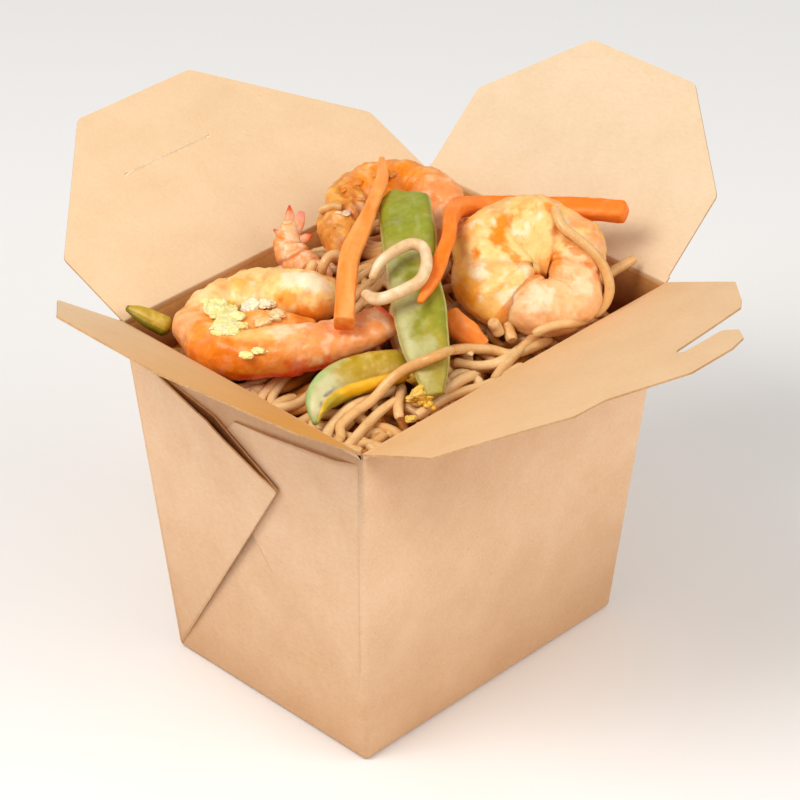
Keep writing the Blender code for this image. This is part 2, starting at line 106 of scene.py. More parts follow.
right, up, back = camera_axes(AZIMUTH, ELEVATION, ROLL)
camera = bpy.data.objects.new("camera", bpy.data.cameras.new("camera"))
place = AIM + back * DISTANCE + right * SLIDE[0] + up * SLIDE[1]
camera.matrix_world = Matrix.Translation(place) @ Matrix((right, up, back)).transposed().to_4x4()
camera.data.lens = LENS
camera.data.clip_start = 0.01
scene.collection.objects.link(camera)
scene.camera = camera
print("camera:", round(DISTANCE, 3), "m away with a", LENS, "mm lens")

# %% Soft lights, sky and floor
scene.view_settings.view_transform = "Standard"


def soft_light(name, direction, distance, size, power, colour):
    """A square lamp that faces the middle of the box from a direction given in the frame."""
    lamp = bpy.data.lights.new(name, "AREA")
    lamp.shape = "SQUARE"
    lamp.size = size
    lamp.energy = power
    lamp.color = colour
    made = bpy.data.objects.new(name, lamp)
    way = Vector(direction).normalized()
    made.location = LIT_SPOT + way * distance
    made.rotation_euler = way.to_track_quat("Z", "Y").to_euler()
    scene.collection.objects.link(made)


WARM = (1.0, 0.975, 0.94)
LIT_SPOT = Vector((0, 0, 0.07))
SKY_COLOUR, SKY_STRENGTH = (1.0, 0.985, 0.965, 1.0), 0.46
FLOOR_COLOUR, FLOOR_RADIUS, FLOOR_GAP = (0.93, 0.93, 0.93, 1.0), 3.0, 0.0002
soft_light("key_light", (-0.68, 0.12, 1.0), 0.9, 0.45, 5.25, WARM)
soft_light("fill_light", (0.35, -1.0, 0.8), 1.1, 0.9, 4.75, WARM)
sky = bpy.data.worlds.new("light_tent")
sky.use_nodes = True
sky.node_tree.nodes["Background"].inputs["Color"].default_value = SKY_COLOUR
sky.node_tree.nodes["Background"].inputs["Strength"].default_value = SKY_STRENGTH
scene.world = sky


def mesh_of(bm, name):
    """The finished bmesh as a mesh with a name."""
    mesh = bpy.data.meshes.new(name)
    bm.to_mesh(mesh)
    bm.free()
    return mesh


def pale_floor():
    """A round sweep of pale board under the box."""
    bm = bmesh.new()
    bmesh.ops.create_circle(bm, cap_ends=True, segments=96, radius=FLOOR_RADIUS)
    mesh = mesh_of(bm, "floor")
    floor = bpy.data.objects.new("floor", mesh)
    floor.location.z = -FLOOR_GAP
    scene.collection.objects.link(floor)
    paint = bpy.data.materials.new("floor_paint")
    paint.use_nodes = True
    shader = paint.node_tree.nodes["Principled BSDF"]
    shader.inputs["Base Color"].default_value = FLOOR_COLOUR
    shader.inputs["Roughness"].default_value = 0.9
    mesh.materials.append(paint)
    floor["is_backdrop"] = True


pale_floor()

# %% [markdown]
# ## Kraft board
#
# Kraft board is unbleached pulp: warm, matt, cloudy where the pulp is thicker, and flecked with
# short fibres. All its faces share one effect, so it is a node group that puts out the cloudiness,
# the fibres and a height for the bump. Each material places the group with its own strengths: the
# outer side is pinker, the coated inner side yellower and smoother.

# %% Node helpers


def link(tree, source, target):
    tree.links.new(source, target)


def set_input(tree, node, key, value):
    if isinstance(value, bpy.types.NodeSocket):
        link(tree, value, node.inputs[key])
    else:
        node.inputs[key].default_value = value


def add_node(tree, kind, operation=None, **inputs):
    """A node with inputs set by name. A socket given as a value is joined, anything else is set."""
    node = tree.nodes.new(kind)
    if operation:
        node.operation = operation
    for name, value in inputs.items():
        key = int(name[1:]) if name[1:].isdigit() else name.replace("_", " ")
        set_input(tree, node, key, value)
    return node


def math_node(tree, operation, first, second):
    return add_node(tree, "ShaderNodeMath", operation, i0=first, i1=second).outputs[0]


def mix_colours(tree, factor, first, second, blend="MIX"):
    """A mix node's colour output. Its sockets 0, 6 and 7 are its factor and its two colours."""
    node = tree.nodes.new("ShaderNodeMix")
    node.data_type = "RGBA"
    node.blend_type = blend
    for key, value in ((0, factor), (6, first), (7, second)):
        set_input(tree, node, key, value)
    return node.outputs[2]


def ranged(tree, value, low, high, start=0.0, end=1.0):
    """The value's stretch from low to high, spread from start to end and clamped."""
    return add_node(tree, "ShaderNodeMapRange", Value=value, From_Min=low, From_Max=high,
                    To_Min=start, To_Max=end).outputs[0]


def effect_group(name, inputs, outputs):
    """An empty shader group with named float inputs (and their defaults) and float outputs."""
    tree = bpy.data.node_groups.new(name, "ShaderNodeTree")
    for title, value in inputs.items():
        kind = "NodeSocketVector" if title == "Vector" else "NodeSocketFloat"
        socket = tree.interface.new_socket(title, in_out="INPUT", socket_type=kind)
        if title != "Vector":
            socket.default_value = value
    for title in outputs:
        tree.interface.new_socket(title, in_out="OUTPUT", socket_type="NodeSocketFloat")
    return tree, tree.nodes.new("NodeGroupInput"), tree.nodes.new("NodeGroupOutput")


def place_group(tree, group, vector):
    node = tree.nodes.new("ShaderNodeGroup")
    node.node_tree = group
    link(tree, vector, node.inputs["Vector"])
    return node


def plain_material(name, roughness):
    material = bpy.data.materials.new(name)
    material.use_nodes = True
    shader = material.node_tree.nodes["Principled BSDF"]
    shader.inputs["Roughness"].default_value = roughness
    return material, material.node_tree, shader


print("node helpers ready")

# %% The fibre effect
FLECK_SIZE = 1100.0


def cloudiness(tree, vector, scale, detail, roughness=0.5):
    return add_node(tree, "ShaderNodeTexNoise", Vector=vector, Scale=scale, Detail=detail,
                    Roughness=roughness).outputs["Fac"]


def build_fibre_group():
    """Clouds of pulp, fine fibres that lie every way, and sparse dark flecks."""
    tree, inside, out = effect_group(
        "kraft_fibre", {"Vector": None, "Cloud Size": 90.0, "Fibre Size": 1500.0},
        ("Cloud", "Fibre", "Fleck", "Height"))
    vector = inside.outputs["Vector"]
    cloud = cloudiness(tree, vector, inside.outputs["Cloud Size"], 3.0, 0.6)
    strands = []
    for turn in (0.4, 1.5, 2.6):
        mapping = add_node(tree, "ShaderNodeMapping", Vector=vector)
        mapping.inputs["Rotation"].default_value = (turn * 0.7, turn * 1.3, turn)
        mapping.inputs["Scale"].default_value = (1.0, 0.45, 1.0)
        strands.append(cloudiness(tree, mapping.outputs[0], inside.outputs["Fibre Size"], 2.0))
    fibre = math_node(tree, "ADD", math_node(tree, "ADD", strands[0], strands[1]), strands[2])
    fibre = math_node(tree, "MULTIPLY", fibre, 1 / len(strands))
    fleck = ranged(tree, cloudiness(tree, vector, FLECK_SIZE, 1.0), 0.74, 0.80)
    height = math_node(tree, "ADD", math_node(tree, "MULTIPLY", cloud, 0.5), fibre)
    for key, value in (("Cloud", cloud), ("Fibre", fibre), ("Fleck", fleck), ("Height", height)):
        link(tree, value, out.inputs[key])
    return tree


fibre_group = build_fibre_group()
print("group:", fibre_group.name)

# %% Board materials


def tone(red, green, blue):
    """A colour given as it looks on a screen, 0 to 255, as linear light."""
    linear = []
    for channel in (red, green, blue):
        share = channel / 255
        linear.append(share / 12.92 if share <= 0.04045 else ((share + 0.055) / 1.055) ** 2.4)
    return tuple(linear) + (1.0,)


def rgb(red, green, blue):
    """The same without its alpha, as an array, for paint that is mixed point by point."""
    return np.array(tone(red, green, blue)[:3])


OILY_SHINE = (1.0, 0.86, 0.62, 1.0)
SOAK_AND_SHADE_TONE = tone(116, 46, 3)
FLECK_SHADE = 0.62
STAIN_SIZE = 26.0
FOOT_HEIGHT = 55.0
RAGGED = 0.012


def board_material(name, pale, deep, roughness, stains=0.0, stain_shade_tone=None, soak_and_shade_from=None,
                   low_shade=None):
    """Kraft board between two tones. Stains are faint, wide, darker patches of damp or grease.

    The tone for stained board is reached where the sheet's own attribute is full: partly grease
    stains, partly painted shade and warm bounce light. The heights give in mm where the board
    turns darker towards the food: partly sauce taken up by the board, partly painted shade.
    The foot tone is what the walls are painted towards their foot: painted shade, darker towards
    the bottom.
    """
    material, tree, shader = plain_material(name, roughness)
    spot = add_node(tree, "ShaderNodeTexCoord").outputs["Object"]
    fibre = place_group(tree, fibre_group, spot)
    pulp = math_node(tree, "ADD", math_node(tree, "MULTIPLY", fibre.outputs["Cloud"], 0.5),
                     math_node(tree, "MULTIPLY", fibre.outputs["Fibre"], 0.8))
    colour = mix_colours(tree, ranged(tree, pulp, 0.4, 0.9), pale, deep)
    dark = tuple(channel * FLECK_SHADE for channel in deep[:3]) + (1.0,)
    fleck = math_node(tree, "MULTIPLY", fibre.outputs["Fleck"], 0.35)
    colour = mix_colours(tree, fleck, colour, dark)
    if stains:
        wide = cloudiness(tree, spot, STAIN_SIZE, 2.0)
        damp = math_node(tree, "MULTIPLY", ranged(tree, wide, 0.5, 0.72), stains)
        colour = mix_colours(tree, damp, colour, dark)
    # The walls are painted darker towards their foot: painted shade.
    if low_shade:
        parts = add_node(tree, "ShaderNodeSeparateXYZ", Vector=spot)
        foot = ranged(tree, parts.outputs["Z"], FOOT_HEIGHT * MM, 0.0)
        shaded = mix_colours(tree, 1.0, colour, low_shade, "MULTIPLY")
        colour = mix_colours(tree, foot, colour, shaded)
    # Where the sheet's attribute is full the board takes the stained tone: partly grease stains,
    # partly painted shade and warm bounce light.
    if stain_shade_tone:
        stain_shade_node = tree.nodes.new("ShaderNodeAttribute")
        stain_shade_node.attribute_name = "stain_shade"
        deeper = mix_colours(tree, 1.0, colour, stain_shade_tone, "MULTIPLY")
        colour = mix_colours(tree, stain_shade_node.outputs["Fac"], colour, deeper)
    # Towards the food the board is painted darker still: partly sauce taken up by the board, partly
    # painted shade deeper in the box.
    if soak_and_shade_from:
        parts = add_node(tree, "ShaderNodeSeparateXYZ", Vector=spot)
        ragged = math_node(tree, "MULTIPLY", fibre.outputs["Cloud"], RAGGED)
        height = math_node(tree, "ADD", parts.outputs["Z"], ragged)
        wet = ranged(tree, height, *(level * MM + RAGGED / 2 for level in soak_and_shade_from))
        colour = mix_colours(tree, wet, colour, SOAK_AND_SHADE_TONE)
        shader.inputs["Specular Tint"].default_value = OILY_SHINE
    link(tree, colour, shader.inputs["Base Color"])
    bump = add_node(tree, "ShaderNodeBump", Strength=0.25, Distance=0.00012,
                    Height=fibre.outputs["Height"])
    link(tree, bump.outputs[0], shader.inputs["Normal"])
    shader.inputs["Specular IOR Level"].default_value = 0.25
    return material


# The outer board is painted darker towards the foot of the walls: painted shade.
outer_board = board_material("outer_board", tone(250, 214, 178), tone(234, 188, 146), 0.8, 0.1,
                             low_shade=(0.79, 0.71, 0.62, 1.0))
inner_board = board_material("inner_board", tone(241, 216, 182), tone(229, 200, 162), 0.7,
                             stain_shade_tone=tone(245, 196, 120))
print("board materials:", outer_board.name, inner_board.name)

# %% [markdown]
# ## The cup
#
# The cup could be cut from a block, but real board is a thin sheet, so an open, tapering surface
# is bevelled along its folds and given its thickness by a Solidify modifier. The modifier also
# gives the inside its own material: a darker, oranger copy of the inner side, which is painted
# shade for the inside of the box, and which turns darker still towards the food, partly with
# sauce taken up by the board and partly with painted shade.

# %% Sizes of the box
RIM_WIDTH, RIM_DEPTH = 109.0, 84.3
BASE_WIDTH, BASE_DEPTH = 92.4, 69.5
BOARD = 0.5
CORNER = 1.4
TOP = 99.95

# The inside of the cup is a darker, oranger copy of the inner board: painted shade for the inside
# of the box, darker still towards the food.
shaded_inside_board = board_material("shaded_inside_board", tone(214, 156, 92), tone(184, 120, 58), 0.6,
                              soak_and_shade_from=(101.0, 89.0))
# Cut edges are painted darker than the faces: painted shade, as the edges are mostly seen in
# shadow.
cut_edge = board_material("cut_edge", tone(222, 180, 132), tone(184, 134, 88), 0.9)
# A pale board for a narrow band under the rear flap's slit: a painted highlight where its cut lip
# would catch the light.
slit_highlight_board = board_material("slit_highlight_board", tone(255, 240, 212), tone(232, 198, 158), 0.9)
# A darker copy of the board for the inner plies and the plies' other side: painted shade in the
# gaps between the plies.
shaded_fold_board = board_material("shaded_fold_board", tone(176, 120, 74), tone(150, 96, 56), 0.85)


def new_object(name, mesh, materials):
    made = bpy.data.objects.new(name, mesh)
    scene.collection.objects.link(made)
    for material in materials:
        mesh.materials.append(material)
    return made


def apply_modifiers(item):
    """The object's shape with its modifiers worked in, so that nothing stays live on the piece."""
    bpy.context.view_layer.update()
    graph = bpy.context.evaluated_depsgraph_get()
    mesh = bpy.data.meshes.new_from_object(item.evaluated_get(graph))
    old = item.data
    item.modifiers.clear()
    item.data = mesh
    if isinstance(old, bpy.types.Mesh):
        bpy.data.meshes.remove(old)
    return item


def board_thickness(item, thickness, offset, even=True):
    """Gives a sheet its thickness: its second material goes inside and its third on the edges."""
    solid = item.modifiers.new("board", "SOLIDIFY")
    solid.thickness = thickness * MM
    solid.offset = offset
    solid.use_even_offset = even
    solid.material_offset = 1
    solid.material_offset_rim = 2
    return apply_modifiers(item)


def build_cup():
    bm = bmesh.new()
    bmesh.ops.create_cube(bm, size=1.0)
    for vertex in bm.verts:
        share = TOP / RIM if vertex.co.z > 0 else 0.0
        width = BASE_WIDTH + (RIM_WIDTH - BASE_WIDTH) * share
        depth = BASE_DEPTH + (RIM_DEPTH - BASE_DEPTH) * share
        vertex.co = Vector((math.copysign(width / 2, vertex.co.x),
                            math.copysign(depth / 2, vertex.co.y), TOP if share else 0.0)) * MM
    lid = [face for face in bm.faces if face.normal.z > 0.9]
    bmesh.ops.delete(bm, geom=lid, context="FACES_ONLY")
    folds = [edge for edge in bm.edges if not edge.is_boundary]
    bmesh.ops.bevel(bm, geom=folds, offset=CORNER * MM, segments=5, affect="EDGES", profile=0.5)
    cup = new_object("cup", mesh_of(bm, "cup"), [outer_board, shaded_inside_board, cut_edge])
    return board_thickness(cup, BOARD, -1.0)


cup = build_cup()
cup.data.shade_smooth()
print("cup:", len(cup.data.polygons), "faces")

# %% [markdown]
# ## Folded gussets
#
# Where two walls meet, the spare board folds into a triangle of two plies that lies flat against
# the side wall. The front one lies underneath, and the rear one laps over it and springs a little
# away. Each ply is a four-sided patch: a square grid is stretched between its four corners, so
# that it can rise gently off the wall from its fold and leave a dark gap at its free edge.

# %% Gusset plies
WALL_LEAN = math.atan2((RIM_WIDTH - BASE_WIDTH) / 2, RIM)
TIP_HEIGHT, TIP_OVERLAP = 76.3, 13.1
UNDER_TOP, UNDER_VERTEX = 97.0, (-2.0, 89.5)
OVER_TOP, OVER_VERTEX = 93.7, (8.7, 88.0)
PLY = 0.45
PLY_CELLS = 44
SPRING = math.radians(2.9)


def wall_point(side, along, up_wall, out):
    """A point of a side wall: along the rim, up the slope and out of the wall."""
    x = BASE_WIDTH / 2 + math.sin(WALL_LEAN) * up_wall + math.cos(WALL_LEAN) * out
    z = math.cos(WALL_LEAN) * up_wall - math.sin(WALL_LEAN) * out
    return Vector((side * x, along, z)) * MM


def soft_rise(distance, reach):
    """0 to 1 over the reach, smooth at both ends."""
    share = min(max(distance / reach, 0.0), 1.0)
    return share * share * (3 - 2 * share)


def ply_grid(corners, place):
    """A square grid stretched between four corners: hinge foot, hinge top, vertex and tip."""
    foot, top, vertex, tip = [Vector(corner) for corner in corners]
    bm = bmesh.new()
    shares = [k / PLY_CELLS for k in range(PLY_CELLS + 1)]
    grid = []
    for t in shares:
        flats = [(foot * (1 - s) + tip * s) * (1 - t) + (top * (1 - s) + vertex * s) * t
                 for s in shares]
        grid.append([bm.verts.new(place(flat, s, t)) for flat, s in zip(flats, shares)])
    for low, high in zip(grid, grid[1:]):
        for corners in zip(low, low[1:], high[1:], high):
            bm.faces.new(corners)
    return bm


def gusset_corners(end, top_height, vertex):
    """The four corners in the wall's plane: end is -1 for the front gusset and 1 for the rear."""
    inset = CORNER + 0.05
    foot, top = BASE_DEPTH / 2 - inset, RIM_DEPTH / 2 - inset - 0.3
    return [(end * foot, 0.9), (end * top, top_height), (end * vertex[0], vertex[1]),
            (-end * TIP_OVERLAP, TIP_HEIGHT)]


def build_ply(name, side, end, corners, height_of):
    """One ply. height_of(distance from the fold, s, t) is the height of its underside."""
    def place(flat, s, t):
        fold = BASE_DEPTH / 2 + (RIM_DEPTH - BASE_DEPTH) / 2 * flat.y / RIM - CORNER
        distance = fold - end * flat.x
        return wall_point(side, flat.x, flat.y, height_of(distance, s, t))
    bm = ply_grid(corners, place)
    bm.normal_update()
    if sum(face.normal.x * side for face in bm.faces) < 0:
        bmesh.ops.reverse_faces(bm, faces=bm.faces)
    # Inner plies take the darker copy of the board: painted shade.
    front = shaded_fold_board if "inner" in name else outer_board
    ply = new_object(name, mesh_of(bm, name), [front, shaded_fold_board, cut_edge])
    board_thickness(ply, PLY, 1.0, even=False)
    ply.data.shade_smooth()
    return ply


def under_height(distance, s, t):
    """The front ply: pressed flat along its lower fold, free along its cut top edge."""
    curled = 0.95 * soft_rise(t - 0.45, 0.55) * soft_rise(s, 0.2)
    curled *= 1 - 0.6 * soft_rise(s - 0.65, 0.35)
    top_edge = 0.42 * soft_rise(distance, 7.0) + curled
    pressed = 0.45 * soft_rise(s - 0.5, 0.4) - 0.06
    share = soft_rise(t, 0.35)
    return top_edge * share + pressed * (1 - share) - PLY


def over_inner_height(distance, s, t):
    return math.tan(SPRING) * distance * 0.6 - PLY + 0.05 + 0.25 * soft_rise(distance, 9.0)


def over_outer_height(distance, s, t):
    """The rear flap of board springs away from its fold, most of all along its cut top edge."""
    sprung = math.tan(SPRING) * distance + 0.38 * soft_rise(distance, 9.0)
    parted = 1.7 * soft_rise(t - 0.1, 0.9) * soft_rise(distance, 34.0)
    return sprung * (0.75 + 0.25 * soft_rise(t, 0.3)) - PLY + 0.08 + parted


gussets = []
for side, word in ((-1, "left"), (1, "right")):
    front = gusset_corners(-1, UNDER_TOP, UNDER_VERTEX)
    rear = gusset_corners(1, OVER_TOP, OVER_VERTEX)
    gussets.append(build_ply("gusset_under_" + word, side, -1, front, under_height))
    gussets.append(build_ply("gusset_inner_" + word, side, 1, rear, over_inner_height))
    gussets.append(build_ply("gusset_outer_" + word, side, 1, rear, over_outer_height))
for item in [cup] + gussets:
    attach(item, "box")
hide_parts("carton")
print("gussets:", [item.name for item in gussets])

# %% [markdown]
# ## Flaps
#
# Four flaps stand on the rim's creases: the wide lid at the rear with its slit, the front flap
# whose hooked tongue goes into that slit, and two dust flaps at the sides. Each is an outline
# drawn flat and filled with one face, sliced into a grid so that it can curl a little, and then
# stood on its crease. The board nearest the food is warmer and darker, partly with grease stains
# and partly with painted shade and warm bounce light, kept as a point attribute that the inner
# side's material reads.

# %% Flap outlines
LEANS = {"rear_flap": 68.0, "front_flap": 67.5, "left_flap": 53.5, "right_flap": 48.0}
CREASES = {"rear_flap": ((0, RIM_DEPTH / 2), 0.0), "front_flap": ((0, -RIM_DEPTH / 2), math.pi),
           "left_flap": ((-RIM_WIDTH / 2, 0), math.pi / 2),
           "right_flap": ((RIM_WIDTH / 2, 0), -math.pi / 2)}
CREASE_GAP = 0.3
CELL = 4.0
HALF_FLAP, LONGEST_FLAP = 54, 60
SLIT_START, SLIT_END, SLIT_LOW, SLIT_HIGH = -21.5, 8.0, 37.5, 37.75
# The band of LIP_WIDTH mm under the slit takes the fourth material, a painted highlight.
LIP_SPRING, LIP_WIDTH, LIT_SLIT_BAND = 0.6, 0.45, 3


def fillet(points, radius, steps=8):
    """The outline with its corners turned into arcs, tighter where the sides are short.

    The two corners on the crease are left out: they stay sharp.
    """
    rounded = []
    for index, corner in enumerate(points):
        here = Vector(corner)
        before = Vector(points[index - 1]) - here
        ahead = Vector(points[(index + 1) % len(points)]) - here
        turn = math.pi - before.angle(ahead)
        reach = min(radius * math.tan(turn / 2), before.length * 0.45, ahead.length * 0.45)
        start, end = here + before.normalized() * reach, here + ahead.normalized() * reach
        for step in range(steps + 1):
            t = step / steps
            rounded.append((1 - t) ** 2 * start + 2 * t * (1 - t) * here + t * t * end)
    return [spot for spot in rounded if spot.y > radius + 1.0]


def tapered(half, shoulder, reach, tip_half, rounding=3.0):
    base = [(-half, CREASE_GAP), (half, CREASE_GAP)]
    top = [(half, shoulder), (tip_half, reach), (-tip_half, reach), (-half, shoulder)]
    return base + fillet(base + top, rounding)


def hooked(rounding=1.5):
    """The front flap: cut-off corners, then a tongue with a slot under its one side."""
    body = [(54.3, 23.5), (43.9, 34.4), (38.5, 38.9), (11.7, 42.0), (9.8, 43.3)]
    tongue = [(11.0, 45.0), (24.4, 45.2), (25.2, 50.0), (20.5, 55.4), (14.2, 57.4), (-0.3, 57.4)]
    far = [(-18.3, 46.4), (-28.3, 45.6), (-54.3, 24.0)]
    ends = [(-54.3, CREASE_GAP), (54.3, CREASE_GAP)]
    curved = fillet(ends + body + tongue + far, rounding)
    return [(-spot[0], spot[1]) for spot in ends + curved][::-1]


side_outline = tapered(41.3, 25.5, 50.0, 17.5)
OUTLINES = {"rear_flap": tapered(54.0, 23.0, 59.0, 19.5), "front_flap": hooked(),
            "left_flap": side_outline, "right_flap": side_outline}
print("outlines:", {name: len(points) for name, points in OUTLINES.items()})

# %% Flap sheets


def flat_sheet(name, outline, slit):
    """The filled outline, sliced into a neat grid, less the narrow slit if it has one."""
    bm = bmesh.new()
    bm.faces.new([bm.verts.new((spot[0] * MM, spot[1] * MM, 0.0)) for spot in outline])
    cuts = [((1, 0, 0), value) for value in np.arange(-HALF_FLAP, HALF_FLAP + 0.1, CELL)]
    cuts += [((0, 1, 0), value) for value in np.arange(CELL / 2, LONGEST_FLAP, CELL)]
    if slit:
        cuts += [((1, 0, 0), SLIT_START), ((1, 0, 0), SLIT_END), ((0, 1, 0), SLIT_LOW - LIP_WIDTH),
                 ((0, 1, 0), SLIT_LOW), ((0, 1, 0), SLIT_HIGH)]
    for normal, value in cuts:
        bmesh.ops.bisect_plane(bm, geom=bm.verts[:] + bm.edges[:] + bm.faces[:],
                               plane_co=Vector(normal) * float(value) * MM, plane_no=normal,
                               dist=0.000001)
    if slit:
        spots = [(face, face.calc_center_median() / MM) for face in bm.faces]
        spots = [(face, spot.y) for face, spot in spots if SLIT_START < spot.x < SLIT_END]
        for face, y in spots:
            # The band just under the slit is given the pale material: a painted highlight.
            if SLIT_LOW - LIP_WIDTH < y < SLIT_LOW:
                face.material_index = LIT_SLIT_BAND
        bmesh.ops.delete(bm, geom=[face for face, y in spots if SLIT_LOW < y < SLIT_HIGH],
                         context="FACES")
    bmesh.ops.remove_doubles(bm, verts=bm.verts, dist=0.000005)
    for face in bm.faces:
        if face.normal.z < 0:
            face.normal_flip()
    return mesh_of(bm, name)


def crease_frame(name):
    """From a flap's own plane (X along the crease, Y out to its tip) to the frame, in metres."""
    (x, y), turn = CREASES[name]
    lean = math.pi / 2 - math.radians(LEANS[name])
    stand = Matrix.Rotation(turn, 4, "Z") @ Matrix.Rotation(lean, 4, "X")
    return Matrix.Translation(Vector((x, y, RIM)) * MM) @ stand


def warm_stain_and_shade(name, x, y):
    """How deeply the board is stained and painted with shade and warm bounce light, 0 to 1,
    at x along the crease and y out from it.
    """
    at_crease = math.exp(-(y / 8) ** 2)
    if name == "front_flap":
        near_end = min(max((HALF_FLAP + x) / (2 * HALF_FLAP), 0.0), 1.0)
        return (0.34 + 0.2 * near_end) * (1 - y / 160) + 0.1 * at_crease
    if name == "left_flap":
        return 0.68 - 0.0125 * x - 0.004 * y
    if name == "rear_flap":
        return 0.21
    return 0.08 * at_crease


def curl(name, x, y):
    """The small height by which the sheet bows from its plane between its crease and its tip."""
    bows = {"front_flap": (17, 0, 57.4), "rear_flap": (15, 2, 59.0)}
    wave, phase, reach = bows.get(name, (13, 1, 50.0))
    bow = 4 * (y / reach) * max(1 - y / reach, 0.0)
    return bow * (0.35 + 0.25 * math.sin(x / wave + phase))


def store_stain_and_shade(mesh, shares):
    mesh.attributes.new("stain_shade", "FLOAT", "POINT").data.foreach_set("value", shares)


def build_flap(name):
    slit = name == "rear_flap"
    mesh = flat_sheet(name + "_board", OUTLINES[name], slit)
    shares = []
    for vertex in mesh.vertices:
        x, y = vertex.co.x / MM, vertex.co.y / MM
        shares.append(warm_stain_and_shade(name, x, y))
        on_lip = slit and SLIT_START < x < SLIT_END and abs(y - SLIT_LOW) < 0.05
        vertex.co.z = (BOARD + curl(name, x, y) + (LIP_SPRING if on_lip else 0.0)) * MM
    store_stain_and_shade(mesh, shares)
    mesh.transform(crease_frame(name))
    flap = new_object(name + "_board", mesh, [inner_board, outer_board, cut_edge, slit_highlight_board])
    board_thickness(flap, BOARD, -1.0, even=False)
    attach(flap, name)
    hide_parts(name)
    return flap


flaps = [build_flap(name) for name in OUTLINES]
print("flaps:", {flap.name: len(flap.data.polygons) for flap in flaps})

# %% [markdown]
# ## Creases
#
# A crease is board too, so each is a strip of the same sheet, bent round the fold: its lower edge
# lies on the wall, its upper edge on the flap, and what lies between turns smoothly.

# %% Crease strips
OVERLAP, SKIN = 1.3, 0.04
BEND_STEPS, STATIONS = 6, 30
HALF_CREASES = {"rear_flap": 54.0, "front_flap": 54.3, "left_flap": 41.8, "right_flap": 41.8}
# The share given to the strips below the rim: painted shade, with sauce, like the inside of the
# cup.
RIM_STAIN_AND_SHADE = 0.9
OUTER, INNER, EDGE = 0, 1, 2


def build_crease(name):
    (x, y), turn = CREASES[name]
    lean = math.radians(LEANS[name])
    rear_lean = math.atan2((RIM_DEPTH - BASE_DEPTH) / 2, RIM)
    wall_lean = rear_lean if name in ("rear_flap", "front_flap") else WALL_LEAN
    half = HALF_CREASES[name]
    wall_way = Vector((math.sin(wall_lean), math.cos(wall_lean)))
    flap_way = Vector((math.sin(lean), math.cos(lean)))
    wall_out, flap_out = (Vector((way.y, -way.x)) for way in (wall_way, flap_way))
    bend = [(Vector((0, 0)), wall_out.lerp(flap_out, step / BEND_STEPS).normalized())
            for step in range(BEND_STEPS + 1)]
    profile = [(-wall_way * OVERLAP, wall_out)] + bend
    profile.append((flap_way * (OVERLAP + CREASE_GAP), flap_out))
    outside = [spot + out * SKIN for spot, out in profile]
    inside = [spot - out * (BOARD + SKIN) for spot, out in profile]
    ring = outside + inside[::-1]
    frame_turn = Matrix.Translation(Vector((x, y, RIM)) * MM) @ Matrix.Rotation(turn, 4, "Z")
    bm = bmesh.new()
    loops = []
    for station in range(STATIONS + 1):
        along = -half + 0.15 + (2 * half - 0.3) * station / STATIONS
        loops.append([bm.verts.new(frame_turn @ (Vector((along, p.x, p.y)) * MM)) for p in ring])
    count, turned = len(ring), len(outside)
    for near, far in zip(loops, loops[1:]):
        for index in range(count):
            after = (index + 1) % count
            face = bm.faces.new((near[index], near[after], far[after], far[index]))
            face.material_index = EDGE
            if index < turned - 1:
                face.material_index = OUTER
            elif turned <= index < count - 1:
                face.material_index = INNER
    for cap in (loops[0], loops[-1][::-1]):
        bm.faces.new(cap).material_index = EDGE
    bmesh.ops.recalc_face_normals(bm, faces=bm.faces)
    mesh = mesh_of(bm, name + "_crease")
    crease = new_object(name + "_crease", mesh, [outer_board, inner_board, cut_edge])
    # Below the rim the strip's inner side is nearly fully stained: painted shade, with sauce, like
    # the inside of the cup.
    store_stain_and_shade(mesh, [RIM_STAIN_AND_SHADE if vertex.co.z < RIM * MM else warm_stain_and_shade(name, 0.0, 0.0)
                        for vertex in mesh.vertices])
    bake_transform(crease)
    return crease


creases = [build_crease(name) for name in OUTLINES]
print("creases:", [crease.name for crease in creases])

# %% [markdown]
# ## Moist food
#
# Cooked food is never one colour: its paint is worked out point by point while each shape is
# made, and kept on the mesh as a colour attribute. The material only adds what is finer than the
# mesh: mottling, tiny pores, and a wet shine that breaks up where the surface is drier.

# %% Moist food materials
WET_SIZE = 240.0


def build_moist_group():
    """Mottle for the colour, wetness for the shine, and a height for fine bumps."""
    tree, inside, out = effect_group(
        "moist_food", {"Vector": None, "Mottle Size": 320.0, "Pore Size": 1300.0},
        ("Mottle", "Wet", "Height"))
    vector = inside.outputs["Vector"]
    mottle = cloudiness(tree, vector, inside.outputs["Mottle Size"], 4.0, 0.62)
    pores = cloudiness(tree, vector, inside.outputs["Pore Size"], 2.0, 0.6)
    wet = ranged(tree, cloudiness(tree, vector, WET_SIZE, 2.0), 0.35, 0.65)
    height = math_node(tree, "ADD", mottle, math_node(tree, "MULTIPLY", pores, 0.45))
    for key, value in (("Mottle", mottle), ("Wet", wet), ("Height", height)):
        link(tree, value, out.inputs[key])
    return tree


moist_group = build_moist_group()
FOOD_INPUTS = {"Subsurface Radius": (1.0, 0.5, 0.2), "Specular IOR Level": 0.35,
               "Specular Tint": OILY_SHINE, "Coat Roughness": 0.15}
DARK_MOTTLE, LIGHT_MOTTLE = (0.74, 0.60, 0.42, 1), (1, 0.93, 0.80, 1)


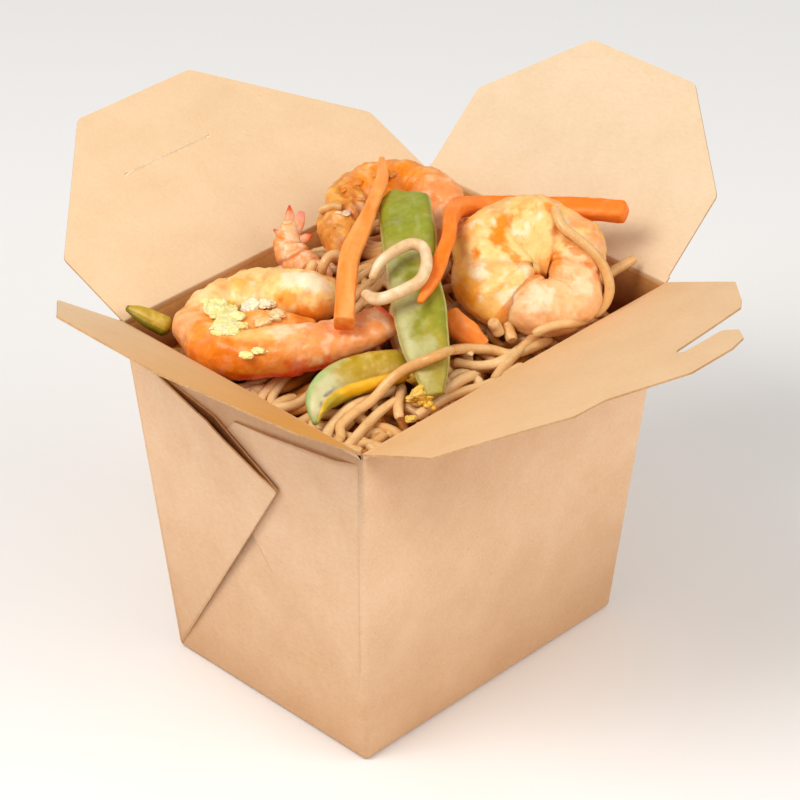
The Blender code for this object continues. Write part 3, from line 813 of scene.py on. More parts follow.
def food_material(name, wet, dry, contrast, bump, glow, glow_reach, coat=0.15):
    """Paint from the mesh, mottled by contrast; wet and dry are the roughness limits.

    glow is how much light passes under the surface, to glow_reach mm for red light.
    """
    material, tree, shader = plain_material(name, wet)
    spot = add_node(tree, "ShaderNodeTexCoord").outputs["Object"]
    effect = place_group(tree, moist_group, spot)
    paint = tree.nodes.new("ShaderNodeAttribute")
    paint.attribute_name = "paint"
    colour = paint.outputs["Color"]
    dark = mix_colours(tree, 1.0, colour, DARK_MOTTLE, "MULTIPLY")
    light = mix_colours(tree, 0.22, colour, LIGHT_MOTTLE)
    for shade, edge in ((dark, 0.30), (light, 0.72)):
        patch = ranged(tree, effect.outputs["Mottle"], 0.52, edge)
        colour = mix_colours(tree, math_node(tree, "MULTIPLY", patch, contrast), colour, shade)
    link(tree, colour, shader.inputs["Base Color"])
    rough = ranged(tree, effect.outputs["Wet"], 0.0, 1.0, dry, wet)
    link(tree, rough, shader.inputs["Roughness"])
    relief = add_node(tree, "ShaderNodeBump", Strength=bump, Distance=0.0004,
                      Height=effect.outputs["Height"])
    link(tree, relief.outputs[0], shader.inputs["Normal"])
    own = {"Subsurface Weight": glow, "Subsurface Scale": glow_reach * MM, "Coat Weight": coat}
    for key, value in {**FOOD_INPUTS, **own}.items():
        shader.inputs[key].default_value = value
    return material


shrimp_flesh = food_material("shrimp_flesh", 0.26, 0.48, 0.45, 0.5, 0.35, 3.0, coat=0.13)
carrot_flesh = food_material("carrot_flesh", 0.36, 0.55, 0.3, 0.3, 0.25, 2.0, coat=0.04)
green_skin = food_material("green_skin", 0.3, 0.48, 0.45, 0.35, 0.15, 1.5)
noodle_dough = food_material("noodle_dough", 0.22, 0.42, 0.5, 0.25, 0.12, 1.5, coat=0.2)
egg_scrap = food_material("egg_scrap", 0.4, 0.6, 0.4, 0.5, 0.3, 1.5, coat=0.04)
FOODS = (shrimp_flesh, carrot_flesh, green_skin, noodle_dough, egg_scrap)
print("food materials:", [material.name for material in FOODS])

# %% [markdown]
# ## Shapes that grow along a path
#
# Shrimps, carrot sticks, pods and squash slices are all long shapes with a changing section, so
# one sweep makes them: rows give the path and its half width and half thickness, a smooth curve
# runs through them, and each station carries a ring of points. Each food then gets its own life
# in two steps: its points are pressed in and out, and its paint is laid on in thin coats. Both
# use a repeatable value noise, so that nothing is even and every run is the same.

# %% Noise
LOW_BITS = 0x7FFFFFFF


def lattice(cells, seed):
    """A repeatable value from 0 to 1 for each whole-numbered cell of space."""
    mixed = (cells[..., 0] * 73856093) ^ (cells[..., 1] * 19349663) ^ (cells[..., 2] * 83492791)
    mixed = (mixed ^ (seed * 265443576)) & LOW_BITS
    mixed = ((mixed ^ (mixed >> 15)) * 73244475) & LOW_BITS
    mixed = ((mixed ^ (mixed >> 13)) * 40503 + 12345) & LOW_BITS
    return ((mixed ^ (mixed >> 16)) & 0xFFFF) / 65535.0


def noise(points, size, seed=0, octaves=2):
    """Smooth noise from -1 to 1 with features about size mm across."""
    total, weight, most = 0.0, 1.0, 0.0
    for octave in range(octaves):
        spots = np.asarray(points, float) / size * 2.0 ** octave + 31.7 * octave
        base = np.floor(spots).astype(np.int64)
        part = spots - base
        part = part * part * (3 - 2 * part)
        value = 0.0
        for corner in np.ndindex(2, 2, 2):
            share = np.where(corner, part, 1 - part)
            share = share[..., 0] * share[..., 1] * share[..., 2]
            value = value + share * lattice(base + np.array(corner), seed + octave)
        total = total + weight * (2 * value - 1)
        most += weight
        weight *= 0.5
    return total / most


def step_up(value, low, high):
    """0 below low, 1 above high, and smooth between them."""
    share = np.clip((value - low) / (high - low), 0.0, 1.0)
    return share * share * (3 - 2 * share)


def coats(paint, layers):
    """Paint, or one plain colour, under thin coats of others with a share at every point."""
    for colour, share in layers:
        share = np.clip(share, 0.0, 1.0)[..., None]
        paint = paint * (1 - share) + colour * share
    return paint


def hump(value, middle, width):
    """1 at the middle, and falling off smoothly to both sides of it."""
    return np.exp(-((value - middle) / width) ** 2)


print("noise check:", round(float(noise(np.array([1.0, 2.0, 3.0]), 2.0)), 4))

# %% The sweep
CAP_RINGS = 7


def smooth_rows(rows, count):
    """Evenly parted rows on a smooth curve through the given ones."""
    rows = np.array(rows, float)
    places = np.linspace(0, len(rows) - 1, count)
    index = np.minimum(places.astype(int), len(rows) - 2)
    t = (places - index)[:, None]
    a, b = rows[np.maximum(index - 1, 0)], rows[index]
    c, d = rows[index + 1], rows[np.minimum(index + 2, len(rows) - 1)]
    bend = (2 * a - 5 * b + 4 * c - d) * t ** 2 + (3 * b - a - 3 * c + d) * t ** 3
    return 0.5 * (2 * b + (c - a) * t + bend)


def unit(vectors):
    """The vectors, each of length 1."""
    return vectors / np.maximum(np.linalg.norm(vectors, axis=-1, keepdims=True), 1e-9)


class Sweep:
    """The points of a swept food, and what is known at each of them.

    u goes from 0 to 1 along it; side and top are the cosine and sine of the angle round it, and
    cap is 0 along the body and rises to 1 over its closed ends.
    """

    def __init__(self, rows, face, rings, sides, squareness=2.0, ends=(1.0, 1.0), blunt=0.0):
        path = smooth_rows(rows, rings)
        rise = np.pi / 2 * (np.arange(CAP_RINGS) + 0.7) / CAP_RINGS
        shrink = np.maximum(np.cos(rise), 0.02) * (1 - blunt) + blunt * np.cos(rise) ** 0.25

        def closing(row, inner, length, place):
            """The shrinking rings past one end: centre, half width, half thickness and u."""
            beyond = np.outer(length * row[4] * np.sin(rise), unit(row[:3] - inner[:3]))
            return np.column_stack([row[:3] + beyond, np.outer(shrink, row[3:]),
                                    np.full(CAP_RINGS, place)])

        body = np.column_stack([path, np.arange(rings) / (rings - 1)])
        stations = np.concatenate([closing(path[0], path[1], ends[0], -0.001)[::-1], body,
                                   closing(path[-1], path[-2], ends[1], 1.001)])
        self.centres, width, depth = stations[:, :3], stations[:, 3:4], stations[:, 4:5]
        middle = np.gradient(path[:, :3], axis=0)
        self.tangent = unit(np.pad(middle, ((CAP_RINGS, CAP_RINGS), (0, 0)), mode="edge"))
        across = unit(np.cross(self.tangent, np.array(face, float)))
        outward = np.cross(across, self.tangent)
        angle = 2 * np.pi * (np.arange(sides) + 0.5) / sides
        side_way, top_way = (np.sign(wave) * np.abs(wave) ** (2 / squareness)
                             for wave in (np.cos(angle), np.sin(angle)))
        offset = (across[:, None, :] * (width * side_way)[..., None]
                  + outward[:, None, :] * (depth * top_way)[..., None])
        self.points = self.centres[:, None, :] + offset
        self.out = unit(offset)
        every = np.ones((len(stations), sides))
        self.u = stations[:, 5:] * every
        self.side, self.top = np.cos(angle) * every, np.sin(angle) * every
        fade = np.linspace(1, 0, CAP_RINGS, endpoint=False)
        self.cap = np.concatenate([fade, np.zeros(rings), fade[::-1]])[:, None] * every
        self.length = np.linalg.norm(np.diff(path[:, :3], axis=0), axis=1).sum()

    def press(self, amount):
        """Moves every point outwards by an amount in mm."""
        self.points = self.points + self.out * amount[..., None]

    def noise(self, size, seed, octaves):
        return noise(self.points, size, seed, octaves)

    def stretched(self, share):
        """The points drawn together along the path, where noise turns into lengthwise grain."""
        return self.centres[:, None, :] * share + (self.points - self.centres[:, None, :])

    def piece(self, name, paint, material):
        """Closes the shape and makes it a piece, with its paint as a colour attribute."""
        count, sides = self.points.shape[:2]
        tips = [self.points[0].mean(0), self.points[-1].mean(0)]
        vertices = np.concatenate([self.points.reshape(-1, 3), tips]) * MM
        colours = np.concatenate([paint.reshape(-1, 3), [paint[0].mean(0), paint[-1].mean(0)]])
        index = np.arange(count * sides).reshape(count, sides)
        turned = np.roll(index, -1, axis=1)
        faces = np.stack([index[:-1], turned[:-1], turned[1:], index[1:]], axis=-1)
        faces = faces.reshape(-1, 4).tolist()
        for ring, tip in ((0, count * sides), (count - 1, count * sides + 1)):
            faces += [(a, b, tip) for a, b in zip(index[ring].tolist(), turned[ring].tolist())]
        return painted_piece(name, vertices, faces, colours, material)


def face_outwards(mesh):
    """Turns the faces of a closed mesh outwards."""
    bm = bmesh.new()
    bm.from_mesh(mesh)
    bmesh.ops.recalc_face_normals(bm, faces=bm.faces)
    bm.to_mesh(mesh)
    bm.free()


def paint_points(mesh, colours):
    """Keeps a colour for each point of the mesh, as the attribute that the materials read."""
    full = np.ones((len(mesh.vertices), 4), np.float32)
    full[:, :3] = np.clip(colours, 0.0, 1.0)
    mesh.attributes.new("paint", "FLOAT_COLOR", "POINT").data.foreach_set("color", full.ravel())


def painted_piece(name, vertices, faces, colours, material):
    """A smooth mesh piece with its paint, its faces turned outwards."""
    mesh = bpy.data.meshes.new(name)
    mesh.from_pydata(vertices.tolist(), [], faces)
    face_outwards(mesh)
    paint_points(mesh, colours)
    mesh.shade_smooth()
    return new_object(name, mesh, [material])


def serve(piece, node):
    """The piece takes the place of one plain solid, and stays in the box."""
    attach(piece, "box")
    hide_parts(node)


print("sweep ready")

# %% [markdown]
# ## Shrimps
#
# A peeled, cooked shrimp is a row of muscle segments, curled towards its belly. Its back is
# blotched with the orange pigment that heat brings out, its belly stays creamy, and sauce settles
# in the creases between segments. Creases are given one by one, because a real shrimp never has
# two alike: each is a place along the body, a depth, a width and a slant. Blotches are given by
# place too, with ragged edges that come from noise.

# %% Shrimp shape and paint
CREAM = rgb(255, 216, 140)
PEACH = rgb(252, 182, 92)
PINK = rgb(252, 194, 140)
ORANGE = rgb(252, 144, 6)
RUST = rgb(232, 116, 10)
RED = rgb(226, 66, 12)
# This colour darkens the shrimps' undersides, as sauce and painted shade, and marks a few small
# dark spots.
SAUCE_AND_SHADE = rgb(176, 78, 10)
WHITE = rgb(255, 240, 208)
AMBER = rgb(222, 118, 10)
GOLD = rgb(250, 176, 66)
SALMON = rgb(246, 156, 92)
BLUSH = rgb(255, 216, 180)
OCHRE = rgb(214, 140, 56)
FIN, FIN_RED, FIN_PINK = rgb(252, 172, 130), rgb(226, 84, 44), rgb(250, 140, 124)
FIN_TIPS = (FIN_RED, FIN_PINK, FIN_RED, FIN_RED)


def crease_depth(sweep, creases, blur=1.0):
    """How strongly each point lies in a crease, 0 to 1: (place along, depth, width, slant)."""
    total = np.zeros_like(sweep.u)
    wander = 0.012 * sweep.noise(4.0, 5, 2)
    for place, depth, width, slant in creases:
        away = (sweep.u + slant * sweep.side + wander - place) / (width * blur)
        total = np.maximum(total, depth * np.exp(-away ** 2))
    return total * (1 - sweep.cap)


def shape_shrimp(sweep, creases, lumps, fine, seed):
    """Cuts the creases, swells the flesh beside them and adds soft lumps."""
    cut = crease_depth(sweep, creases)
    beside = crease_depth(sweep, creases, 3.0)
    rough = lumps * sweep.noise(6.0, seed, 2) + fine * sweep.noise(1.8, seed + 5, 3)
    sweep.press(rough - 1.25 * cut + 0.35 * beside)


def paint_shrimp(sweep, creases, base, back_colour, dorsal, seed):
    """Flesh from the base to the back's colour, with flecks, veins, sauced creases, and an
    underside darkened by sauce and painted shade.
    """
    cloud, fine = sweep.noise(6.0, seed, 3), sweep.noise(2.0, seed + 9, 3)
    vein = hump(sweep.noise(5.0, seed + 21, 2), 0, 0.07) * step_up(cloud, -0.2, 0.3)
    return coats(base, [
        (back_colour, 0.75 * step_up(dorsal * sweep.side + 0.5 * cloud, 0.1, 1.0)),
        (WHITE, 0.75 * step_up(fine + 0.5 * cloud, 0.15, 0.6)), (ORANGE, 0.4 * vein),
        (ORANGE, 0.5 * step_up(sweep.noise(3.2, seed + 33, 3), 0.22, 0.6)),
        (RUST, 0.85 * crease_depth(sweep, creases, 1.3)),
        # The underside is darker: sauce, and painted shade.
        (SAUCE_AND_SHADE, 0.75 * step_up(-sweep.top + 0.3 * cloud, 0.3, 0.95))])


def daub(paint, points, spots, seed=3):
    """Ragged places of another colour: x, y, z, reach in mm, colour and strength."""
    ragged = 0.3 * noise(points, 1.0, seed + 1, 2)
    for x, y, z, reach, colour, strength in spots:
        away = np.linalg.norm(points - (x, y, z), axis=-1)
        away = away * (1 + 0.6 * noise(points, reach * 0.7, seed, 3) + ragged)
        edge = 1 - step_up(away, reach * 0.6, reach * 1.1)
        paint = coats(paint, [(colour, strength * edge)])
    return paint


def heave(sweep, spots):
    """Rises and dents: x, y, z, reach and height in mm."""
    amount = np.zeros_like(sweep.u)
    for x, y, z, reach, height in spots:
        away = np.linalg.norm(sweep.points - (x, y, z), axis=-1)
        amount += height * (1 - step_up(away, 0.0, reach))
    sweep.press(amount)


def joined_piece(name, parts, material):
    """Several swept bodies, each with its paint, as one piece."""
    made = [sweep.piece(name + "_part", paint, material) for sweep, paint in parts]
    bm = bmesh.new()
    for item in made:
        bm.from_mesh(item.data)
        bpy.data.objects.remove(item)
    return new_object(name, mesh_of(bm, name), [material])


print("shrimp paints ready")

# %% The left shrimp
LEVEL = (0.0, 0.0, 1.0)
left_rows = [
    (-17.6, 9.2, 105, 5.6, 5.4), (-21, 15.7, 104.8, 6.9, 6), (-25.9, 21.8, 104.2, 7.4, 6.2),
    (-32.9, 25.6, 103.2, 7.3, 6.2), (-40.6, 25.4, 101.8, 7, 6), (-45.6, 19.1, 100.9, 7, 5.9),
    (-45.4, 9.9, 101.2, 7, 5.8), (-37.3, 1.2, 102, 6.6, 5.5), (-28, -4.7, 103, 6, 4.6),
    (-19.2, -7.9, 104, 5.9, 3.4), (-12.6, -9.6, 105, 5.8, 2.2)]
belly_rows = [
    (-43, 17.5, 101.6, 4, 3.6), (-39, 15, 102.2, 5.4, 4.4), (-34.5, 12.5, 102.2, 5.4, 4.4),
    (-30.5, 9, 101.8, 4.6, 4), (-26, 4.5, 101.2, 3, 3)]
left_creases = [(0.16, 0.3, 0.02, 0.05), (0.31, 0.35, 0.02, 0.06), (0.45, 0.5, 0.014, 0.05),
                (0.60, 0.3, 0.012, 0.06), (0.755, 0.5, 0.010, 0.04), (0.88, 0.12, 0.02, 0.03)]
sweep = Sweep(left_rows, LEVEL, 240, 72, 2.3, (0.9, 0.12))
shape_shrimp(sweep, left_creases, 0.7, 0.3, 11)
crusty = step_up(0.5 - sweep.u, 0.0, 0.2) * step_up(sweep.side, -0.2, 0.5)
sweep.press(0.7 * crusty * sweep.noise(2.6, 18, 3))
heave(sweep, [(-32, 22, 109, 6, 0.9), (-24, 18, 110, 5, 0.8),
              (-39, 23.7, 107.7, 4, 0.6), (-19.8, 10.6, 110.2, 4, 0.6),
              (-28, 20.5, 110, 2.2, -0.8), (-46, 21, 107, 2, -0.6),
              (-43, 24.5, 107.5, 2, 0.5), (-49, 20, 106, 2.2, 0.5),
              (-48.4, 28, 103, 7, 1.5)])
paint = paint_shrimp(sweep, left_creases, CREAM, PEACH, 1.0, 11)
cloud, fine = sweep.noise(5.0, 12, 3), sweep.noise(1.9, 14, 3)
upper, lower = 1 - step_up(sweep.u, 0.1, 0.35), step_up(sweep.u, 0.38, 0.5)
towards_end = step_up(sweep.u + 0.03 * cloud, 0.66, 0.78)
bands = hump((sweep.u * 34 + 0.5 * cloud) % 1.0, 0.5, 0.22)
outer_edge = step_up(-sweep.top, 0.12, 0.4) * step_up(sweep.side, 0.0, 0.2)
paint = coats(paint, [
    (PEACH, 0.3 * upper * step_up(fine, -0.2, 0.3) + 0.6 * lower),
    (AMBER, 0.85 * lower * (1 - towards_end) * step_up(sweep.side + 0.5 * cloud, 0.0, 0.6)),
    # The gold patches on the lower body are painted highlights.
    (GOLD, 0.55 * lower * (1 - towards_end) * step_up(fine + 0.4 * cloud, 0.1, 0.5)),
    (SALMON, 0.85 * towards_end),
    (BLUSH, 0.6 * towards_end * step_up(fine + 0.5 * cloud, -0.05, 0.4)),
    (BLUSH, 0.4 * bands * step_up(sweep.u, 0.3, 0.38) * (1 - step_up(sweep.u, 0.5, 0.58))),
    (RED, 0.95 * outer_edge * step_up(sweep.u + 0.02 * cloud, 0.57, 0.63)),
    (RED, 0.85 * step_up(sweep.u + 0.01 * fine, 0.955, 0.99))])
paint = daub(paint, sweep.points, [
    (-49.4, 18.6, 105.8, 3, ORANGE, 0.7), (-40, -4.6, 101.5, 3, RED, 0.6),
    (-52.7, 15.7, 102.8, 4.5, ORANGE, 0.4), (-50.7, 7.8, 104.5, 5, ORANGE, 0.6),
    (-46, 21, 107, 3, ORANGE, 0.6), (-47, 15, 106.5, 3.4, ORANGE, 0.5),
    (-49.5, 23.9, 105, 4.5, PINK, 0.5), (-26.2, 12.3, 107.4, 3, GOLD, 0.9),
    (-23.5, 9.3, 102.3, 4, ORANGE, 0.9), (-20.5, 6, 104, 3.5, ORANGE, 0.8),
    (-27.4, 13.4, 107.2, 0.8, RUST, 0.7), (-24.5, 13.4, 108.6, 0.9, SAUCE_AND_SHADE, 0.8),
    (-19.8, 10.6, 110.2, 3.8, WHITE, 0.9), (-22.5, 14.5, 110.6, 3.4, WHITE, 0.7),
    (-43, 2, 104.6, 2, WHITE, 0.35),
    (-33, -8.6, 102, 1.5, RED, 0.5), (-50.9, 6.4, 103.3, 4.6, AMBER, 0.85),
    (-32.1, 22.7, 109.4, 2.8, GOLD, 0.8), (-30, 24.5, 108.8, 1.6, ORANGE, 0.5),
    (-38, 2, 106.8, 3.4, WHITE, 0.45), (-32, 0.5, 107, 3, WHITE, 0.4)])
belly = Sweep(belly_rows, LEVEL, 90, 48, 2.2, (0.8, 0.8))
belly.press(0.5 * belly.noise(5.0, 15, 2) + 0.25 * belly.noise(1.8, 16, 3))
belly_paint = paint_shrimp(belly, [], PEACH, CREAM, 1.0, 15)
belly_paint = coats(belly_paint, [
    (ORANGE, 0.6 + 0.3 * belly.noise(3.0, 19, 2)),
    (RUST, 0.7 * step_up(-belly.noise(4.0, 17, 2), 0.2, 0.6))])
left_shrimp = joined_piece("left_shrimp", [(sweep, paint), (belly, belly_paint)], shrimp_flesh)
serve(left_shrimp, "shrimp_left")
print("left shrimp:", round(sweep.length), "mm along its middle")

# %% The right shrimp


def curled_rows(centre, tilt, start, end, outer, hole, thickness, steps):
    """A shrimp curled up on itself, from its outer radii and its thickness at equal steps.

    start and end are angles in degrees; hole is the radius that stays free in the middle.
    """
    right_way = np.array([0.70, -0.714, 0.0])
    away = np.array([0.714, 0.70, 0.0])
    up_way = away * math.cos(tilt) + np.array([0, 0, 1.0]) * math.sin(tilt)
    radii = smooth_rows([[radius] for radius in outer], steps)[:, 0]
    depths = smooth_rows([[depth] for depth in thickness], steps)[:, 0]
    angles = np.radians(np.linspace(start, end, steps))
    middle = (radii + hole) / 2
    places = np.array(centre) + (np.cos(angles)[:, None] * right_way
                                 + np.sin(angles)[:, None] * up_way) * middle[:, None]
    rows = np.column_stack([places, (radii - hole) / 2, depths])
    return rows, np.cross(right_way, up_way)


right_rows, right_face = curled_rows(
    (26.6, -25.3, 106.5), math.radians(32), 224, -137,
    (19.6, 21, 23.3, 24.6, 24.3, 22.3, 20.3, 20, 17, 14.6, 15, 16.2, 16, 15.2, 15.6, 15.3),
    1.2, (6.0, 8.0, 7.6, 6.6, 6.0, 5.8, 5.0), 33)
right_creases = [(0.12, 0.3, 0.016, 0.03), (0.25, 0.2, 0.014, 0.03), (0.41, 0.42, 0.014, -0.04),
                 (0.60, 0.45, 0.012, 0.04), (0.74, 0.3, 0.012, 0.03), (0.87, 0.15, 0.016, 0.02)]
sweep = Sweep(right_rows, right_face, 280, 96, 2.3, (0.5, 0.5))
shape_shrimp(sweep, right_creases, 0.9, 0.35, 23)
sweep.press(0.7 * hump(sweep.u, 0.35, 0.06) - 0.4 * hump(sweep.u, 0.46, 0.04)
            - 0.9 * step_up(0.04 - sweep.u, -0.02, 0.04) + 0.5 * step_up(sweep.u, 0.93, 0.99)
            + 0.55 * hump(sweep.side, 1.0, 0.25))
heave(sweep, [(23.8, -14.1, 119.3, 3, -0.6), (19.7, -21.4, 113.5, 2.2, -0.5),
              (13.7, -13.5, 114.2, 1.8, -0.5), (11.3, -17.6, 111.2, 3, 0.6),
              (21, -24.2, 110.3, 2.5, 0.6), (18.3, -31.4, 106.4, 5, 0.5)])
paint = paint_shrimp(sweep, right_creases, CREAM, rgb(252, 186, 90), -1.0, 23)
wander = 0.05 * sweep.noise(5.0, 24, 2)
paint = coats(paint, [(PINK, 0.85 * step_up(sweep.u + wander, 0.42, 0.62))])
paint = daub(paint, sweep.points, [
    (23.8, -14.1, 119.3, 2.4, ORANGE, 0.95), (21, -14.8, 117.9, 1.8, ORANGE, 0.95),
    (19.6, -15.8, 116.9, 2.4, ORANGE, 0.95), (19.7, -21.4, 113.5, 1.7, ORANGE, 0.85),
    (19.4, -18.8, 115.2, 1.4, ORANGE, 0.8), (28.8, -14.8, 120.4, 1.4, ORANGE, 0.85),
    (13.7, -13.5, 114.2, 1.4, ORANGE, 0.9), (34.1, -19.2, 120.5, 2.4, ORANGE, 0.8),
    (28.4, -27.5, 111.9, 2, ORANGE, 0.75), (8.2, -17.1, 107.5, 4.4, rgb(250, 168, 50), 0.85),
    (13.6, -24.1, 100.4, 2.2, RUST, 0.9), (16.6, -27.3, 106.8, 1.4, ORANGE, 0.6),
    # The white spots are painted highlights; the one at (11.3, -17.6) also lightens the left edge
    # where it turns into shade.
    (11.3, -17.6, 111.2, 2.2, WHITE, 0.8), (21, -24.2, 110.3, 2, WHITE, 0.7),
    (18.3, -31.4, 106.4, 4.5, WHITE, 0.6), (27.6, -36.7, 108.5, 3.4, WHITE, 0.45),
    (39, -25.8, 118, 3.6, SALMON, 0.7), (37.6, -31, 115.2, 3.2, SALMON, 0.55),
    (32.2, -24, 117.6, 1.8, AMBER, 0.6), (32.5, -27.6, 116.2, 2, AMBER, 0.65),
    (32.8, -31.1, 114.4, 2, AMBER, 0.65), (33.4, -34, 111.6, 2, AMBER, 0.6),
    (33.4, -36.5, 108.8, 2.0, AMBER, 0.6)], seed=29)
near_hole = hump(sweep.side, 1.0, 0.35) * step_up(sweep.noise(2.4, 26, 2), -0.3, 0.3)
low_edge = step_up(-sweep.side, 0.6, 0.9) * step_up(0.3 - sweep.u, 0.0, 0.15)
paint = coats(paint, [
    (RUST, 0.7 * np.maximum(hump(sweep.u, 0.0, 0.007), hump(sweep.u, 1.0, 0.007))),
    (ORANGE, 0.55 * near_hole), (rgb(250, 176, 40), 0.35 * low_edge)])
serve(sweep.piece("right_shrimp", paint, shrimp_flesh), "shrimp_right")
print("right shrimp:", round(sweep.length), "mm along its middle")

# %% The back shrimp and the tail
back_rows = [
    (2.3, 21.7, 106.5, 4.6, 4.8), (8.5, 27.6, 108.5, 5.7, 5.6), (17.3, 32, 110, 6.2, 6),
    (25.4, 30.8, 110.5, 6.4, 6.2), (31.2, 25.2, 110.5, 6.4, 6.2), (31.7, 16.4, 110, 6.2, 6),
    (27.1, 8.8, 108.5, 5.1, 5.4), (21.2, 4.1, 107, 3.6, 4.2)]
back_creases = [(0.14, 0.5, 0.02, 0.06), (0.30, 0.5, 0.018, 0.06), (0.48, 0.4, 0.018, 0.05),
                (0.66, 0.4, 0.016, 0.05), (0.84, 0.4, 0.016, 0.05)]
sweep = Sweep(back_rows, LEVEL, 200, 64, 2.2, (0.9, 0.6))
shape_shrimp(sweep, back_creases, 1.0, 0.45, 37)
near_end = 1 - step_up(sweep.u, 0.22, 0.36)
fibres = noise(sweep.points * np.array([1.0, 1.0, 0.25]), 1.5, 42, 2)
sweep.press(0.55 * near_end * fibres)
paint = paint_shrimp(sweep, back_creases, PEACH, ORANGE, 1.0, 37)
crust = sweep.noise(3.0, 38, 3)
far_end = step_up(sweep.u + 0.05 * crust, 0.6, 0.72)
paint = coats(paint, [
    (ORANGE, 0.85 * step_up(crust, -0.25, 0.25)),
    (GOLD, 0.7 * step_up(sweep.noise(1.6, 39, 3), 0.15, 0.5)),
    (OCHRE, 0.85 * near_end * step_up(crust, -0.4, 0.1)),
    (RUST, 0.6 * step_up(-crust, 0.2, 0.6)),
    (RUST, 0.55 * near_end * step_up(-fibres, 0.1, 0.4)),
    (GOLD, 0.8 * near_end * step_up(fibres, 0.12, 0.4)),
    (BLUSH, 0.6 * near_end * step_up(sweep.noise(2.0, 40, 2), 0.3, 0.6))])
paint = daub(paint, sweep.points, [
    (27.8, 24.4, 115.7, 4.6, ORANGE, 0.9), (24, 27, 115, 3.4, ORANGE, 0.85),
    (16.5, 30.5, 115.4, 3.2, ORANGE, 0.8)])
cooked = hump(sweep.noise(2.2, 47, 2), 0, 0.1) * step_up(sweep.u, 0.3, 0.4)
paint = coats(paint, [
    (AMBER, 0.5 * cooked * (1 - far_end)), (SALMON, 0.8 * far_end),
    (BLUSH, 0.5 * far_end * step_up(sweep.noise(3.0, 40, 3), -0.1, 0.4))])
serve(sweep.piece("back_shrimp", paint, shrimp_flesh), "shrimp_back")

tail_rows = [
    (-4.9, 33.2, 111, 2.2, 1.5), (-6.3, 32.2, 109, 3, 2.4), (-7.9, 30.6, 106.6, 3.9, 3.2),
    (-8.2, 27.8, 104.6, 4.3, 3.7), (-7.2, 24.4, 103.2, 3.9, 3.6), (-6, 21, 102.2, 3.1, 3.1)]
fins = [
    [(-5.6, 32.4, 109.6, 1.7, 1.1), (-3.9, 34.2, 112.4, 1.3, 0.7), (-2.4, 35.8, 114.4, 0.3, 0.25)],
    [(-4.9, 31.4, 109.4, 1.6, 1), (-2.9, 31.8, 111.6, 1.5, 0.8), (-1, 32.8, 113.2, 0.8, 0.4)],
    [(-7.4, 32.6, 107.8, 1.3, 0.9), (-7.5, 34.4, 109, 0.9, 0.6), (-7.8, 35.8, 109.6, 0.4, 0.3)],
    [(-6, 29.6, 107.6, 1.2, 1), (-4, 28.2, 108.8, 1.1, 0.8), (-2.8, 27.6, 109.2, 0.5, 0.4)]]
LEANING = (-0.5, -0.5, 0.7)
tail_creases = [(0.34, 0.4, 0.03, 0.08), (0.62, 0.5, 0.03, 0.06), (0.84, 0.4, 0.03, 0.05)]
sweep = Sweep(tail_rows, LEANING, 130, 56, 2.0, (0.9, 1.0))
shape_shrimp(sweep, tail_creases, 0.45, 0.2, 41)
paint = paint_shrimp(sweep, tail_creases, rgb(254, 196, 150), ORANGE, 1.0, 41)
streaked = sweep.points * np.array([1.0, 1.0, 0.5])
paint = coats(paint, [
    (ORANGE, 0.25), (BLUSH, 0.8 * step_up(noise(streaked, 1.9, 43, 3), -0.1, 0.35)),
    (ORANGE, 0.7 * hump(noise(streaked, 2.4, 46, 2), 0, 0.09)),
    (RUST, 0.5 * step_up(np.abs(sweep.side), 0.85, 1.0))])
parts = [(sweep, paint)]
for number, rows in enumerate(fins):
    fin = Sweep(rows, LEANING, 40, 24, 2.0, (0.4, 0.8))
    fin.press(0.12 * fin.noise(1.5, 44 + number, 2))
    reddened = step_up(fin.u + 0.15 * fin.noise(1.0, 48, 2), 0.4, 0.95)
    parts.append((fin, coats(FIN, [(FIN_TIPS[number], reddened)])))
serve(joined_piece("shrimp_tail_end", parts, shrimp_flesh), "shrimp_tail")
print("shrimps made")

# %% [markdown]
# ## Vegetables
#
# The carrots are cut sticks with soft-cooked edges and a grain along them. The pea pod is flat,
# with a seam, glossy skin, pale rubbed places and a torn top end. The squash slices have a glossy
# rind along one edge and softer flesh on the cut. The sprout is a smooth bent stem.

# %% Carrots
CARROT = rgb(252, 126, 16)
CARROT_PALE = rgb(255, 172, 92)
CARROT_DEEP = rgb(238, 82, 2)


def carrot_piece(name, node, rows, face, rings, squareness, ends, blunt, pale, seed):
    sweep = Sweep(rows, face, rings, 40, squareness, ends, blunt)
    grain = noise(sweep.stretched(0.12), 1.1, seed, 2)
    sweep.press(0.2 * sweep.noise(4.5, seed + 1, 2)
                + 0.12 * sweep.noise(2.0, seed, 2) + 0.07 * grain)
    paint = coats(CARROT, [
        (CARROT_PALE, pale * step_up(grain, -1.1 * pale, 0.8)),
        # The side turned away from the top is painted a deeper orange: painted shade.
        (CARROT_DEEP, 0.6 * step_up(-sweep.top, -0.2, 0.8))])
    serve(sweep.piece(name, paint, carrot_flesh), node)


